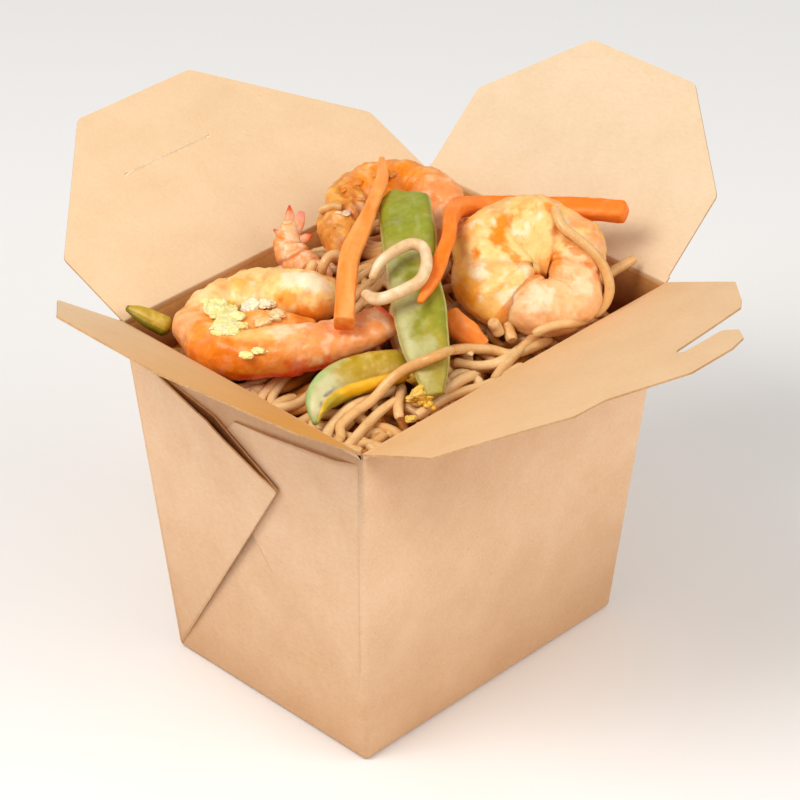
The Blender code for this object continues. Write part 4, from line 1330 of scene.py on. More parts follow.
TO_VIEWER = (-0.60, -0.585, 0.547)
centre_rows = [
    (22.5, 27.5, 121.1, 0.8, 0.8), (15.9, 20.9, 121.1, 1.5, 1.4), (9.8, 16.7, 120.9, 1.7, 1.8),
    (2.2, 12, 119.9, 1.8, 2), (-5.8, 7.5, 118.8, 2.4, 2), (-12.6, 3.9, 116.9, 2.6, 2.2),
    (-20.6, -2.8, 114, 2.5, 2.3), (-28.6, -10.1, 111, 2.5, 2.4)]
carrot_piece("carrot_stick_centre", "carrot_center", centre_rows, TO_VIEWER, 110, 4.0,
             (0.9, 0.15), 0.4, 1.0, 51)
bent_rows = [
    (51.8, -28.4, 116.4, 2.6, 2.4), (47.9, -17.5, 114.5, 2.7, 2.4), (40.6, -6.7, 113.5, 2.7, 2.2),
    (32.2, 0.9, 114, 2.5, 2.2), (22.6, 0.9, 117.8, 2.2, 2.1), (14.6, -4.2, 119.8, 1.9, 1.9),
    (8.8, -9.2, 119.9, 1.75, 1.7), (2.6, -13.2, 118.9, 1.8, 1.6), (-5.2, -17.4, 116.9, 1.8, 1.4),
    (-12.8, -20.3, 114.8, 0.8, 0.7)]
carrot_piece("carrot_stick_bent", "carrot_bent", bent_rows, (-0.35, -0.3, 0.85), 180, 3.6,
             (0.5, 0.7), 0.3, 0.45, 53)
small_rows = [
    (1.6, -17.4, 103.4, 2.2, 1.9), (0.4, -20.6, 102.4, 3, 2.1), (0.8, -24.6, 101, 2.9, 2),
    (2.4, -28.0, 99.6, 1.0, 1.0)]
carrot_piece("carrot_stick_small", "carrot_small", small_rows, TO_VIEWER, 60, 3.0,
             (0.4, 0.6), 0.0, 0.7, 57)
print("carrots made")

# %% Pea pod
GREEN = rgb(150, 156, 40)
GREEN_PALE = rgb(190, 190, 132)
GREEN_YELLOW = rgb(176, 158, 50)
GREEN_DEEP = rgb(126, 124, 14)
GREEN_RIM = rgb(196, 204, 130)
pod_rows = [
    (16, 13.3, 118.5, 6.2, 1.7), (10.6, 7.3, 118.2, 6.8, 2.3), (3.8, -0.4, 117, 6.9, 2.5),
    (-3.4, -8.5, 114.6, 6.4, 2.4), (-10.4, -17.7, 110.4, 6.6, 2.4), (-15.3, -24.4, 106.4, 6, 2.3),
    (-18.4, -29.2, 102.8, 4.9, 2), (-21.5, -33.8, 98.6, 2.3, 1.4)]
sweep = Sweep(pod_rows, TO_VIEWER, 220, 72, 3.0, (0.3, 0.6), 0.7)
at_top = 1 - step_up(sweep.u, 0.0, 0.07)
place = np.sign(sweep.side) * np.abs(sweep.side) ** (2 / 3)
torn = (1.4 * hump(place, 0.4, 0.24) - 1.3 * step_up(-place, -0.3, 1.0)
        - 1.6 * step_up(place, 0.5, 1.0) + 0.3 * sweep.noise(1.6, 67, 2))
sweep.points = sweep.points - sweep.tangent[:, None, :] * (at_top * torn)[..., None]
cloud = noise(sweep.points * np.array([1.0, 1.0, 0.6]), 7.0, 63, 3)
fine = sweep.noise(2.2, 64, 3)
frost = (step_up(sweep.side + 0.9 * cloud + 0.5 * fine, -0.3, 0.35)
         * step_up(sweep.u + 0.06 * cloud, 0.3, 0.42))
sweep.press(0.28 * sweep.noise(7.0, 61, 2) + 0.06 * sweep.noise(1.5, 62, 2)
            + 0.12 * frost * fine - 0.25 * hump(np.abs(sweep.side), 0.93, 0.05))
streak = noise(sweep.stretched(0.15), 1.6, 66, 2)
paint = coats(GREEN, [
    (GREEN_YELLOW, step_up(cloud + 0.9 * sweep.u - 0.35, -0.2, 0.5)),
    (GREEN_DEEP, 0.5 * step_up(-cloud - 0.4 * fine, 0.0, 0.5)),
    (GREEN_PALE, 0.5 * step_up(streak, 0.1, 0.5) * step_up(-sweep.side, -0.2, 0.6)
     * (1 - step_up(sweep.u, 0.3, 0.4))),
    (GREEN_PALE, 0.85 * frost * (1 - 0.6 * step_up(sweep.u, 0.76, 0.86))),
    (GREEN_DEEP, 0.5 * step_up(-sweep.side, 0.55, 0.8) * (1 - step_up(-sweep.side, 0.86, 0.92))),
    (GREEN_RIM, 0.8 * step_up(np.abs(sweep.side), 0.93, 0.99) * step_up(sweep.top, 0.0, 0.2)),
    (GREEN_RIM, 0.75 * step_up(sweep.cap, 0.0, 0.3) * (sweep.u < 0.5))])
serve(sweep.piece("pod", paint, green_skin), "pea_pod")

# %% Squash slices and sprout
RIND = rgb(244, 190, 18)
RIND_DEEP = rgb(120, 108, 4)
RIND_GREEN = rgb(156, 150, 26)
FLESH = rgb(186, 154, 34)
FLESH_GOLD = rgb(214, 176, 84)
FLESH_GREEN = rgb(206, 202, 152)
MINT = rgb(160, 196, 120)
BRUISE = rgb(104, 84, 96)
front_rows = [
    (-47.4, -19.2, 95.2, 0.7, 0.5), (-45.4, -17.6, 97.2, 2.4, 1.5), (-41.3, -15.6, 98.6, 4.1, 2.5),
    (-34.3, -14.9, 99.2, 4.9, 3.2), (-27.3, -17.2, 99.6, 4.9, 3.4), (-20.4, -20, 99.2, 4.4, 3.2)]
corner_rows = [
    (-52.9, 41, 103.8, 0.9, 0.7), (-51.4, 38.8, 102.8, 1.9, 1.5), (-50, 36, 101.6, 2.4, 2),
    (-48.4, 32.6, 100.3, 2.6, 2.2)]
SKIN_UP = (-0.5, -0.45, 0.75)


def squash_piece(name, node, rows, rings, sides, seed, pale_end, rind):
    """A slice: a band of glossy yellow rind along its lower edge, and a cut face above it."""
    sweep = Sweep(rows, SKIN_UP, rings, sides, 2.6, (0.8, 0.8))
    sweep.press(0.15 * sweep.noise(3.0, seed, 3)
                - 0.25 * hump(sweep.side, 0.42, 0.12) * step_up(sweep.top, 0.0, 0.4))
    cloud, fine = sweep.noise(4.0, seed + 2, 3), sweep.noise(1.2, seed + 6, 2)
    side = sweep.side + 0.08 * cloud
    pale = step_up(pale_end - sweep.u + 0.25 * cloud, -0.2, 0.16)
    marks = noise(sweep.points * np.array([0.5, 1.0, 1.0]), 1.2, seed + 4, 2)
    bruise = step_up(marks, -0.45, 0.0) * hump(sweep.u, 0.34, 0.13) * (pale > 0.05)
    bruise = bruise * hump(side, 0.26, 0.12) * step_up(sweep.top, 0, 0.3)
    paint = coats(FLESH, [
        (FLESH_GOLD, 0.7 * step_up(fine + cloud, 0.0, 0.5)),
        (FLESH_GREEN, 0.95 * pale),
        (MINT, 0.8 * pale * step_up(-side, 0.3, 0.7)),
        (rind, step_up(side, 0.36, 0.46)),
        (RIND_GREEN, 0.75 * pale * step_up(side, 0.4, 0.5) * step_up(side + 0.4 * cloud, 0.5, 0.8)),
        (RIND_DEEP, 0.9 * step_up(-side, 0.86, 0.97) * (1 - 0.8 * pale)),
        (MINT, 0.7 * step_up(pale_end - 0.4 - sweep.u, 0.0, 0.12)),
        (RIND_DEEP, 0.6 * step_up(side, 0.88, 1.0)),
        (RIND_DEEP, 0.8 * step_up(0.06 - sweep.u, 0.0, 0.06)), (BRUISE, bruise)])
    serve(sweep.piece(name, paint, green_skin), node)


squash_piece("squash_slice_front", "squash_front", front_rows, 130, 72, 71, 0.55, RIND)
squash_piece("squash_slice_corner", "squash_corner", corner_rows, 50, 40, 75, -0.3, RIND_DEEP)

SPROUT = rgb(232, 194, 144)
sprout_rows = [
    (-19.2, -8.5, 114.3, 1.7, 1.7), (-19.6, -11.5, 114.7, 1.9, 1.9),
    (-18.5, -14.3, 115.7, 1.9, 1.9), (-14.9, -16.3, 116.9, 1.85, 1.85),
    (-10.9, -18.1, 118.7, 1.85, 1.85), (-6.5, -16.3, 120.6, 1.8, 1.8),
    (-2.5, -11.5, 121.5, 1.8, 1.8), (-3.3, -8, 121.7, 1.8, 1.8), (-8, -6.8, 121.1, 1.8, 1.8),
    (-12, -6, 119.2, 1.6, 1.6), (-15.2, -6.6, 117.2, 1.3, 1.3)]
sweep = Sweep(sprout_rows, (-0.4, -0.4, 0.8), 130, 28, 2)
sweep.press(0.1 * sweep.noise(2.5, 81, 2) - 0.32)
paint = coats(SPROUT, [
    (WHITE, 0.6 * step_up(sweep.noise(3.0, 82, 2), -0.3, 0.5))])
serve(sweep.piece("sprout", paint, noodle_dough), "bean_sprout")
print("vegetables made")

# %% [markdown]
# ## Noodles
#
# A heap of noodles is a pile: each strand lies on what is under it and bends over it. So the pile
# is laid strand by strand over a smaller dark core, which is sauce and also painted shade for the
# gaps deep in the heap. A height map of the heap is kept, a strand's path is drawn at random from
# a fixed seed, it settles on the map at each step, its heights are smoothed because dough is
# stiff, and it is then stamped into the map. A ceiling keeps the strands under the plain solid's
# surface, and so under the shrimps that press on it. Geometry Nodes then turn all of the paths
# into round strands.

# %% Height maps
STEP = 0.5
HALF_X, HALF_Y = 54.0, 42.0
HIGH_ABOVE, NO_HEAP = 200.0, -1.0
grid_x = np.arange(-HALF_X, HALF_X + STEP / 2, STEP)
grid_y = np.arange(-HALF_Y, HALF_Y + STEP / 2, STEP)


def heap_tree():
    """The plain heap, ready for rays to be cast at it."""
    mesh = nodes["noodle_heap"].data
    place = nodes["noodle_heap"].matrix_world
    vertices = [place @ vertex.co for vertex in mesh.vertices]
    return BVHTree.FromPolygons(vertices, [tuple(face.vertices) for face in mesh.polygons])


def surface_map(tree):
    """The heap's height in mm over each cell of the grid, seen from above."""
    heights = np.full((len(grid_x), len(grid_y)), NO_HEAP)
    for i, x in enumerate(grid_x):
        for j, y in enumerate(grid_y):
            hit = tree.ray_cast(Vector((x, y, HIGH_ABOVE)) * MM, Vector((0, 0, -1)))[0]
            if hit is not None:
                heights[i, j] = hit.z / MM
    return heights


ceiling = surface_map(heap_tree())
inside = ceiling > 0
print("heap surface:", round(ceiling[inside].min(), 1), "to", round(ceiling.max(), 1), "mm")

# %% [markdown]
# The wall stops a strand too: a path is turned back when it comes near the edge of the heap, as
# real noodles slide down along the board.

# %% Laying the strands
NOODLE_RADIUS = 1.28
DEPTH_OF_PILE = 7.5
SPACING = 1.5
OUTSIDE = 60.0
TRIES, SHORTEST, LONGEST, FEWEST_POINTS = 330, 35, 110, 10
START_X, START_Y = 48, 37
DRIFT, STEADINESS, TIGHTEST = 0.05, 0.86, 0.42
LOOK_AHEAD, TURN_BACK = 7.0, 0.16
WALL_X, WALL_Y = 1.2, 0.4
START_CLEAR, AHEAD_CLEAR, STOP_CLEAR = 3.0, 2.2, 1.6
SINK, MOST_BURIED, STIFFNESS = 0.45, 0.9, 4
rng = np.random.default_rng(2207)
pile = np.where(inside, ceiling - DEPTH_OF_PILE, OUTSIDE)


def clear_of_edge(x, y, margin):
    return abs(x) < HALF_X - margin - WALL_X and abs(y) < HALF_Y - margin - WALL_Y


def random_path(length):
    """A flowing path in plan: its heading drifts, and it turns back before the wall."""
    while True:
        x, y = rng.uniform(-START_X, START_X), rng.uniform(-START_Y, START_Y)
        if clear_of_edge(x, y, START_CLEAR):
            break
    heading = rng.uniform(0, 2 * np.pi)
    turn = rng.normal(0, DRIFT)
    path = []
    for _ in range(int(length / SPACING)):
        path.append((x, y))
        turn = STEADINESS * turn + rng.normal(0, DRIFT)
        ahead_x, ahead_y = LOOK_AHEAD * np.cos(heading), LOOK_AHEAD * np.sin(heading)
        if not clear_of_edge(x + ahead_x, y + ahead_y, AHEAD_CLEAR):
            turn += TURN_BACK * np.sign(np.sin(np.arctan2(-y, -x) - heading))
        turn = np.clip(turn, -TIGHTEST, TIGHTEST)
        heading += turn
        x, y = x + SPACING * np.cos(heading), y + SPACING * np.sin(heading)
        if not clear_of_edge(x, y, STOP_CLEAR):
            break
    return np.array(path)


def cells_near(x, y, radius):
    """Index ranges and squared distances of the cells within radius of a spot."""
    i0 = max(int((x - radius + HALF_X) / STEP), 0)
    i1 = min(int((x + radius + HALF_X) / STEP) + 2, len(grid_x))
    j0 = max(int((y - radius + HALF_Y) / STEP), 0)
    j1 = min(int((y + radius + HALF_Y) / STEP) + 2, len(grid_y))
    gap = (grid_x[i0:i1, None] - x) ** 2 + (grid_y[None, j0:j1] - y) ** 2
    return slice(i0, i1), slice(j0, j1), gap


def rest_height(x, y, radius):
    """The lowest height at which a ball of this radius rests on the pile."""
    rows, columns, gap = cells_near(x, y, radius)
    round_under = np.sqrt(np.maximum(radius ** 2 - gap, 0.0))
    near = gap < radius ** 2
    return float((pile[rows, columns] + round_under)[near].max(initial=OUTSIDE))


def roof_height(x, y, radius):
    """The highest place for the ball's middle under the ceiling."""
    rows, columns, gap = cells_near(x, y, radius)
    return float(ceiling[rows, columns][gap < radius ** 2].min()) - radius * SINK


def smooth_along(values, times):
    for _ in range(times):
        padded = np.concatenate([values[:1], values, values[-1:]])
        values = 0.25 * padded[:-2] + 0.5 * padded[1:-1] + 0.25 * padded[2:]
    return values


def stamp(path, heights, radius):
    """Raises the pile to the top of a laid strand."""
    for (x, y), z in zip(path, heights):
        rows, columns, gap = cells_near(x, y, radius)
        top = z + np.sqrt(np.maximum(radius ** 2 - gap, 0.0))
        block = pile[rows, columns]
        pile[rows, columns] = np.where(gap < radius ** 2, np.maximum(block, top), block)


def lay(path, radius):
    """Settles a path on the pile; gives the strand's points, or None if there is no room."""
    rest = np.array([rest_height(x, y, radius) for x, y in path])
    roof = np.array([roof_height(x, y, radius) for x, y in path])
    heights = np.minimum(smooth_along(np.minimum(rest, roof), STIFFNESS), roof)
    if (rest - heights).mean() > radius * MOST_BURIED:
        return None
    stamp(path, heights, radius)
    return np.column_stack([path, heights])


strands, radii = [], []
for _ in range(TRIES):
    radius = NOODLE_RADIUS * rng.uniform(0.9, 1.08)
    path = random_path(rng.uniform(SHORTEST, LONGEST))
    if len(path) < FEWEST_POINTS:
        continue
    laid = lay(path, radius)
    if laid is not None:
        strands.append(laid)
        radii.append(radius)
print("strands laid:", len(strands), "with", sum(len(strand) for strand in strands), "points")

# %% Chosen strands
CHOSEN = {
    "long_front": [(-48.3, -27.1, 92.9), (-44.3, -24.7, 92.8), (-42, -22.4, 93.6),
        (-37.3, -22.5, 95.2), (-33.6, -23, 96.1), (-30.2, -22.9, 97.1), (-27.4, -23.3, 99.1),
        (-25, -24.1, 100.8), (-22.9, -26.2, 103), (-21.5, -29.6, 105.6), (-18.3, -31.6, 106.8),
        (-13.4, -30.2, 105.2), (-8.7, -27.6, 102.3), (-3, -27.4, 100), (2.8, -29.8, 98.1),
        (7.3, -33, 96.3), (19.5, -34.1, 95.4)],
    "second": [(-7, -26.4, 97.5), (-3.2, -30.9, 96.7), (1.6, -33.7, 96.9), (11.1, -32.3, 96.1)],
    "third": [(-4.2, -37.2, 95.9), (4.5, -34.4, 96.5), (17.2, -31.5, 96.5), (26.8, -30.8, 95.4)],
    "upright": [(-21.5, -22.8, 95.6), (-25.5, -26, 95.4), (-29.4, -29.2, 95.3),
        (-30.9, -31.3, 94.4)],
    "edge": [(-27.3, -33.2, 94.4), (-16.1, -33.8, 95.2), (-5.7, -37.2, 95.4), (5.9, -37.1, 95.3)],
    "curl": [(-15.8, -32.1, 96), (-10.6, -29.9, 96.7), (-7.4, -30.8, 96.2), (-7.2, -34.7, 95.6),
        (-9.0, -37.7, 94.3)],
    "left_low": [(-49.3, -15.8, 92.7), (-50.2, -23, 93.6), (-47.9, -28, 92.8),
        (-45.8, -33.3, 92.9)],
    "left_rise": [(-51.3, -25.3, 93.5), (-42.9, -20.3, 93.2), (-36.9, -20.4, 95.3),
        (-29.6, -20.6, 94.9), (-23.4, -22.3, 95.6)],
    "round_shrimp": [(35.3, -20, 120.9), (33, -24.9, 118.6), (33.5, -28.5, 117.1),
        (34.1, -32, 115.4), (35.4, -34.9, 112.6), (35.4, -37.7, 109.7), (34.6, -39.8, 106),
        (32.7, -40, 102.6), (29.5, -39.4, 100.4)],
    "poking_out": [(42.5, -30, 100.5), (44.6, -30.6, 102), (48.6, -31.6, 103.2),
        (52.6, -32.4, 104)],
    "under_shrimp": [(30.5, -38.6, 99), (24, -38.9, 100.6), (20.3, -38.6, 101.7),
        (16.7, -36.2, 101.4), (13.3, -34.0, 99.7)],
    "stub_a": [(7.7, -25.2, 102.1), (8.9, -25.6, 100), (9.1, -26.5, 98)],
    "stub_b": [(12.5, -25.6, 100.2), (11.8, -27.2, 98.4), (10.4, -29.6, 97.2)],
    "arch": [(-11.8, 14.9, 105), (-12.8, 13.3, 110), (-10.8, 13.4, 112), (-8.6, 12.7, 112.3),
        (-7, 11.6, 110), (-6.4, 10.8, 107)],
    "by_tail": [(-16, 15.3, 107), (-14.8, 15.3, 110), (-13.4, 15.7, 111)],
    "left_cross": [(-47.7, -29.5, 92.6), (-40.6, -27.5, 93.4), (-32.2, -25.9, 94.5),
        (-26.4, -26.3, 95.4)],
    "bit_back": [(3.4, 30.8, 112.4), (5.4, 28.6, 113.9), (6.6, 26, 114.2)],
    "bit_front": [(-17.6, -32.6, 96.6), (-14.4, -33.2, 97.4), (-10.6, -33, 97.3),
        (-6.6, -33, 96.6)],
    "bit_beside": [(-14.4, -29.8, 97.8), (-15.6, -31.2, 97.5), (-14.8, -32.8, 97.2)],
}
THICKER = {"stub_a": 1.25, "stub_b": 1.25, "bit_back": 0.85, "bit_front": 1.15, "bit_beside": 1.1}
for name, rows in CHOSEN.items():
    rows = np.array(rows)
    length = np.linalg.norm(np.diff(rows, axis=0), axis=1).sum()
    strands.append(smooth_rows(rows, max(int(length / SPACING * 1.2), 8)))
    radii.append(NOODLE_RADIUS * THICKER.get(name, 1.03))
print("with the chosen ones:", len(strands))

# %% [markdown]
# The paths become one mesh of bare edges, with a radius and a paint at each point. Geometry
# Nodes read it as curves, sweep a round profile along them and set the dough's material.

# %% Strand paint
DOUGH = rgb(226, 172, 104)
DOUGH_PALE = rgb(246, 208, 152)
# The two deeper tones paint strands browner deeper in the heap: partly sauce, partly painted shade.
DOUGH_SAUCED_SHADE = rgb(212, 134, 36)
DOUGH_DEEP_SHADE = rgb(148, 74, 6)


def ceiling_at(points):
    i = np.clip(((points[:, 0] + HALF_X) / STEP).round().astype(int), 0, len(grid_x) - 1)
    j = np.clip(((points[:, 1] + HALF_Y) / STEP).round().astype(int), 0, len(grid_y) - 1)
    return ceiling[i, j]


def strand_paint(points, seed, chosen):
    """Pale on top of the heap, and browner deeper down: partly the sauce that gathers there,
    partly painted shade.
    """
    depth = np.clip(ceiling_at(points) - points[:, 2] - NOODLE_RADIUS * 0.4, 0.0, 8.0)
    depth = depth * (0.4 if chosen else 1.0)
    shade = noise(points, 7.0, 90, 3)
    own = lattice(np.array([seed, 3, 5]), 77)
    return coats(DOUGH, [
        (DOUGH_PALE, 0.5 + 0.7 * shade + 0.5 * (own - 0.5)),
        (DOUGH_SAUCED_SHADE, 0.9 * step_up(depth, 0.4, 2.6)),
        (DOUGH_DEEP_SHADE, 0.9 * step_up(depth, 2.6, 5.5))])


def strand_mesh(strands, radii):
    vertices, edges, sizes, colours = [], [], [], []
    for number, (points, radius) in enumerate(zip(strands, radii)):
        first = len(vertices)
        vertices.extend(tuple(p) for p in points * MM)
        edges.extend((first + k, first + k + 1) for k in range(len(points) - 1))
        taper = np.ones(len(points))
        taper[0] = taper[-1] = 0.75
        sizes.extend(radius * taper * (1 + 0.07 * noise(points, 6.0, 95)))
        colours.extend(strand_paint(points, number, number >= len(strands) - len(CHOSEN)))
    mesh = bpy.data.meshes.new("noodle_paths")
    mesh.from_pydata(vertices, edges, [])
    mesh.attributes.new("thickness", "FLOAT", "POINT").data.foreach_set(
        "value", np.array(sizes, np.float32) * MM)
    paint_points(mesh, colours)
    return mesh


noodles = new_object("noodles", strand_mesh(strands, radii), [])
print("path points:", len(noodles.data.vertices))

# %% Strand tree
STRAND_SIDES = 8


def build_strand_tree():
    """Edges to curves to round strands, with the number of sides as an input."""
    tree = bpy.data.node_groups.new("round_strands", "GeometryNodeTree")
    tree.interface.new_socket("Geometry", in_out="INPUT", socket_type="NodeSocketGeometry")
    sides = tree.interface.new_socket("Sides", in_out="INPUT", socket_type="NodeSocketInt")
    sides.default_value = STRAND_SIDES
    dough = tree.interface.new_socket("Material", in_out="INPUT", socket_type="NodeSocketMaterial")
    tree.interface.new_socket("Geometry", in_out="OUTPUT", socket_type="NodeSocketGeometry")
    inside, out = tree.nodes.new("NodeGroupInput"), tree.nodes.new("NodeGroupOutput")
    thickness = add_node(tree, "GeometryNodeInputNamedAttribute", Name="thickness").outputs[0]
    curves = add_node(tree, "GeometryNodeMeshToCurve", Mesh=inside.outputs["Geometry"])
    thick = add_node(tree, "GeometryNodeSetCurveRadius", Curve=curves.outputs[0], Radius=thickness)
    ring = add_node(tree, "GeometryNodeCurvePrimitiveCircle", Resolution=inside.outputs["Sides"],
                    Radius=1.0)
    tube = add_node(tree, "GeometryNodeCurveToMesh", Curve=thick.outputs[0],
                    Profile_Curve=ring.outputs["Curve"], Fill_Caps=True)
    if "Scale" in tube.inputs:
        link(tree, thickness, tube.inputs["Scale"])
    smooth = add_node(tree, "GeometryNodeSetShadeSmooth", Geometry=tube.outputs[0])
    solid = add_node(tree, "GeometryNodeRealizeInstances", Geometry=smooth.outputs[0])
    paint = add_node(tree, "GeometryNodeSetMaterial", Geometry=solid.outputs[0],
                     Material=inside.outputs["Material"])
    link(tree, paint.outputs[0], out.inputs["Geometry"])
    return tree, sides.identifier, dough.identifier


strand_tree, sides_key, dough_key = build_strand_tree()
grow = noodles.modifiers.new("round_strands", "NODES")
grow.node_group = strand_tree
grow[sides_key] = STRAND_SIDES
grow[dough_key] = noodle_dough
apply_modifiers(noodles)
face_outwards(noodles.data)
serve(noodles, "noodle_heap")
print("noodles:", len(noodles.data.polygons), "faces")

# %% The core of sauce
# The core's dark paint is sauce, and painted shade for the gaps deep in the heap.
CORE_SAUCE_AND_SHADE = rgb(164, 90, 8)
CORE_CELLS = (72, 56)
CORE_TOP = np.array([52.2, 39.8])
CORE_FOOT = np.array([44.9, 33.6])
CORE_FOOT_HEIGHT, CORE_SUNK, BARE_HEIGHT = 2.0, 5.0, 90.0


def build_core():
    """What lies under the strands: the same heap, lower and a little smaller."""
    across, along = CORE_CELLS
    plan = np.array([(2 * i / across - 1, 2 * j / along - 1)
                     for i in range(across + 1) for j in range(along + 1)]) * CORE_TOP
    flat = np.column_stack([plan, np.zeros(len(plan))])
    top = ceiling_at(flat)
    top = np.where(top > 0, top, BARE_HEIGHT) - CORE_SUNK + 1.2 * noise(flat, 4.0, 99, 3)
    index = np.arange(len(plan)).reshape(across + 1, along + 1)
    faces = np.stack([index[:-1, :-1], index[1:, :-1], index[1:, 1:], index[:-1, 1:]], axis=-1)
    faces = faces.reshape(-1, 4).tolist()
    border = [*index[:, 0], *index[-1, 1:], *index[-2::-1, -1], *index[0, -2:0:-1]]
    foot = np.column_stack([plan[border] * CORE_FOOT / CORE_TOP,
                            np.full(len(border), CORE_FOOT_HEIGHT)])
    low = [len(plan) + k for k in range(len(border))]
    faces += zip(border, border[1:] + border[:1], low[1:] + low[:1], low)
    faces.append(low)
    vertices = np.concatenate([np.column_stack([plan, top]), foot])
    paint = np.zeros_like(vertices) + CORE_SAUCE_AND_SHADE
    return painted_piece("sauce_and_shade_core", vertices * MM, faces, paint, noodle_dough)


core = build_core()
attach(core, "box")
print("core:", len(core.data.polygons), "faces")

# %% [markdown]
# ## Egg scraps
#
# Scrambled egg clings in ragged, spongy scraps: bright yellow where it is yolk, nearly white
# where it is not. Each scrap is a small ball pushed about by noise until it is craggy, flattened
# a little towards what it sticks to. They are small and many, so they share one mesh.

# %% Scraps
YOLK = rgb(255, 238, 158)
YOLK_DEEP = rgb(244, 190, 52)
YOLK_RICH = rgb(250, 200, 84)
EGG_WHITE = rgb(255, 242, 206)
CRUMB = rgb(250, 206, 146)
CRUST = rgb(240, 150, 40)
CRUST_DEEP = rgb(246, 136, 14)


def round_ball(levels):
    bm = bmesh.new()
    bmesh.ops.create_icosphere(bm, subdivisions=levels, radius=1.0)
    points = np.array([vertex.co[:] for vertex in bm.verts])
    faces = [tuple(vertex.index for vertex in face.verts) for face in bm.faces]
    bm.free()
    return points, faces


BALL, BALL_FACES = round_ball(4)


def scrap(centre, sizes, turn, colour, seed, contrast):
    """A craggy scrap: its middle, its three half sizes in mm, its turn about Z and its colour."""
    away = 1 + 0.36 * noise(BALL, 0.7, seed, 3) + 0.26 * noise(BALL, 0.24, seed + 3, 2)
    points = BALL * away[:, None] * np.array(sizes)
    c, s = math.cos(turn), math.sin(turn)
    points = points @ np.array([[c, s, 0], [-s, c, 0], [0, 0, 1.0]])
    # Within a scrap, deeper yolk in the dents is painted shade, and white on the bumps and on the
    # side turned to the camera is painted light.
    camera_side = points @ np.array(TO_VIEWER)
    paint = coats(colour, [
        (YOLK_DEEP, 0.6 * contrast * step_up(-away + 1.0, 0.0, 0.35)),
        (EGG_WHITE, 0.75 * contrast * step_up(away - 1.0 + 0.05 * camera_side, 0.0, 0.4))])
    return points + centre, paint


def scatter_scraps(name, groups, material):
    """groups: middle, spread, how many, size, thinness and colour of each cluster of scraps."""
    rng = np.random.default_rng(411)
    vertices, faces, colours = [], [], []
    for number, (middle, spread, count, size, thin, colour) in enumerate(groups):
        for k in range(count):
            offset = rng.normal(0, 1, 3) * np.array(spread) * 0.5
            bulk = size * rng.uniform(0.6, 1.15)
            sizes = (bulk, bulk * rng.uniform(0.5, 0.9), bulk * thin * rng.uniform(0.8, 1.3))
            contrast = 0.3 if colour[2] < YOLK[2] * 0.6 else 1.0
            points, paint = scrap(np.array(middle) + offset, sizes, rng.uniform(0, 6.28), colour,
                                  100 + 17 * number + k, contrast)
            first = len(vertices)
            vertices.extend(points * MM)
            faces.extend(tuple(first + index for index in face) for face in BALL_FACES)
            colours.extend(paint)
    return painted_piece(name, np.array(vertices), faces, np.array(colours), material)


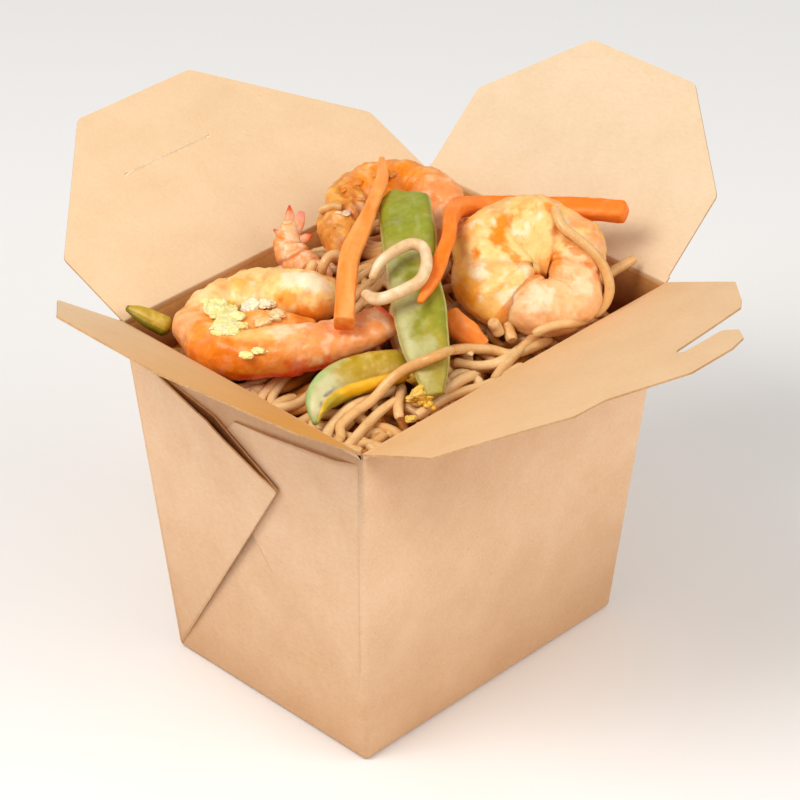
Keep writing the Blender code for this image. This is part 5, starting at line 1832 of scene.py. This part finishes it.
egg = scatter_scraps("egg_scraps", [
    ((-39, 22.8, 107.9), (2.6, 2.6, 0.2), 5, 2.4, 0.26, YOLK),
    ((-40.6, 20, 107.6), (3, 2.6, 0.2), 6, 2.6, 0.26, YOLK),
    ((-42.6, 17.6, 107.4), (3, 2.6, 0.2), 6, 2.6, 0.28, YOLK),
    ((-44.6, 14.6, 107.2), (2.8, 2.6, 0.2), 6, 2.6, 0.28, YOLK),
    ((-46.2, 11.8, 107), (1.8, 2, 0.2), 5, 2.3, 0.28, YOLK),
    ((-43, 12.4, 107.1), (1.4, 1.6, 0.2), 3, 2, 0.3, YOLK),
    ((-37.6, 20.4, 107.5), (1.6, 2, 0.2), 3, 2, 0.3, YOLK_DEEP),
    ((-41.6, 21.6, 107.3), (1.4, 1.4, 0.2), 2, 1.4, 0.4, YOLK_DEEP),
    ((-33.4, 17.6, 106.4), (1.6, 1, 0.3), 4, 2.4, 0.42, EGG_WHITE),
    ((-30.2, 15.6, 106.4), (1.6, 1, 0.3), 4, 2.2, 0.42, EGG_WHITE),
    ((-33.8, 9.6, 106.5), (2.6, 0.6, 0.2), 5, 2, 0.42, CRUMB),
    ((-46.4, 2, 105.6), (2.6, 0.6, 0.3), 4, 1.5, 0.4, YOLK),
    ((-24.4, -31, 98.4), (0.8, 0.8, 1.6), 7, 1.8, 0.7, YOLK_RICH),
    ((-22.8, -32.6, 97.6), (1.2, 1.2, 0.8), 4, 1.4, 0.6, YOLK_DEEP),
    ((-13.6, -21.6, 99.6), (1.4, 1.4, 0.6), 3, 2.4, 0.45, YOLK),
    ((-11.4, -24, 98.6), (1.2, 1.2, 0.5), 3, 1.9, 0.45, YOLK_DEEP),
    ((-3, -28.4, 99.8), (0.9, 0.9, 0.4), 3, 1.3, 0.45, CRUMB),
    ((-18, -25, 97.6), (2.5, 2.5, 0.5), 3, 1.3, 0.45, YOLK_DEEP),
    ((-24, -34, 96.6), (2, 1.6, 0.4), 3, 1.2, 0.45, YOLK_DEEP),
    ((-30, -33.6, 95.6), (2.4, 1.4, 0.4), 5, 1.1, 0.45, YOLK_RICH),
    ((8.6, 28.6, 114), (4, 3, 0.3), 6, 1.7, 0.24, CRUST),
    ((3.4, 23.4, 111.4), (2.4, 2.4, 0.3), 5, 1.4, 0.3, CRUST),
    ((15, 30.6, 115.5), (4, 2, 0.2), 6, 2, 0.2, CRUST_DEEP),
    ((24, 28.6, 116), (3.4, 2.4, 0.2), 6, 2, 0.2, CRUST_DEEP),
    ((9.6, 32.6, 113), (1.2, 1, 0.4), 3, 1.2, 0.5, YOLK_RICH),
    ((5.6, 24.6, 113.2), (1.6, 1.6, 0.3), 3, 1.3, 0.35, BLUSH),
], egg_scrap)
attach(egg, "box")
print("egg scraps:", len(egg.data.polygons), "faces")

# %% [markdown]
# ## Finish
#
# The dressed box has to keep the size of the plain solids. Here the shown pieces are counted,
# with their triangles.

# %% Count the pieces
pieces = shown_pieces()
counts = {}
graph = bpy.context.evaluated_depsgraph_get()
for piece in pieces:
    mesh = piece.evaluated_get(graph).to_mesh()
    mesh.calc_loop_triangles()
    counts[piece.name] = len(mesh.loop_triangles)
print("pieces:", len(counts), "with", sum(counts.values()), "triangles;", counts)
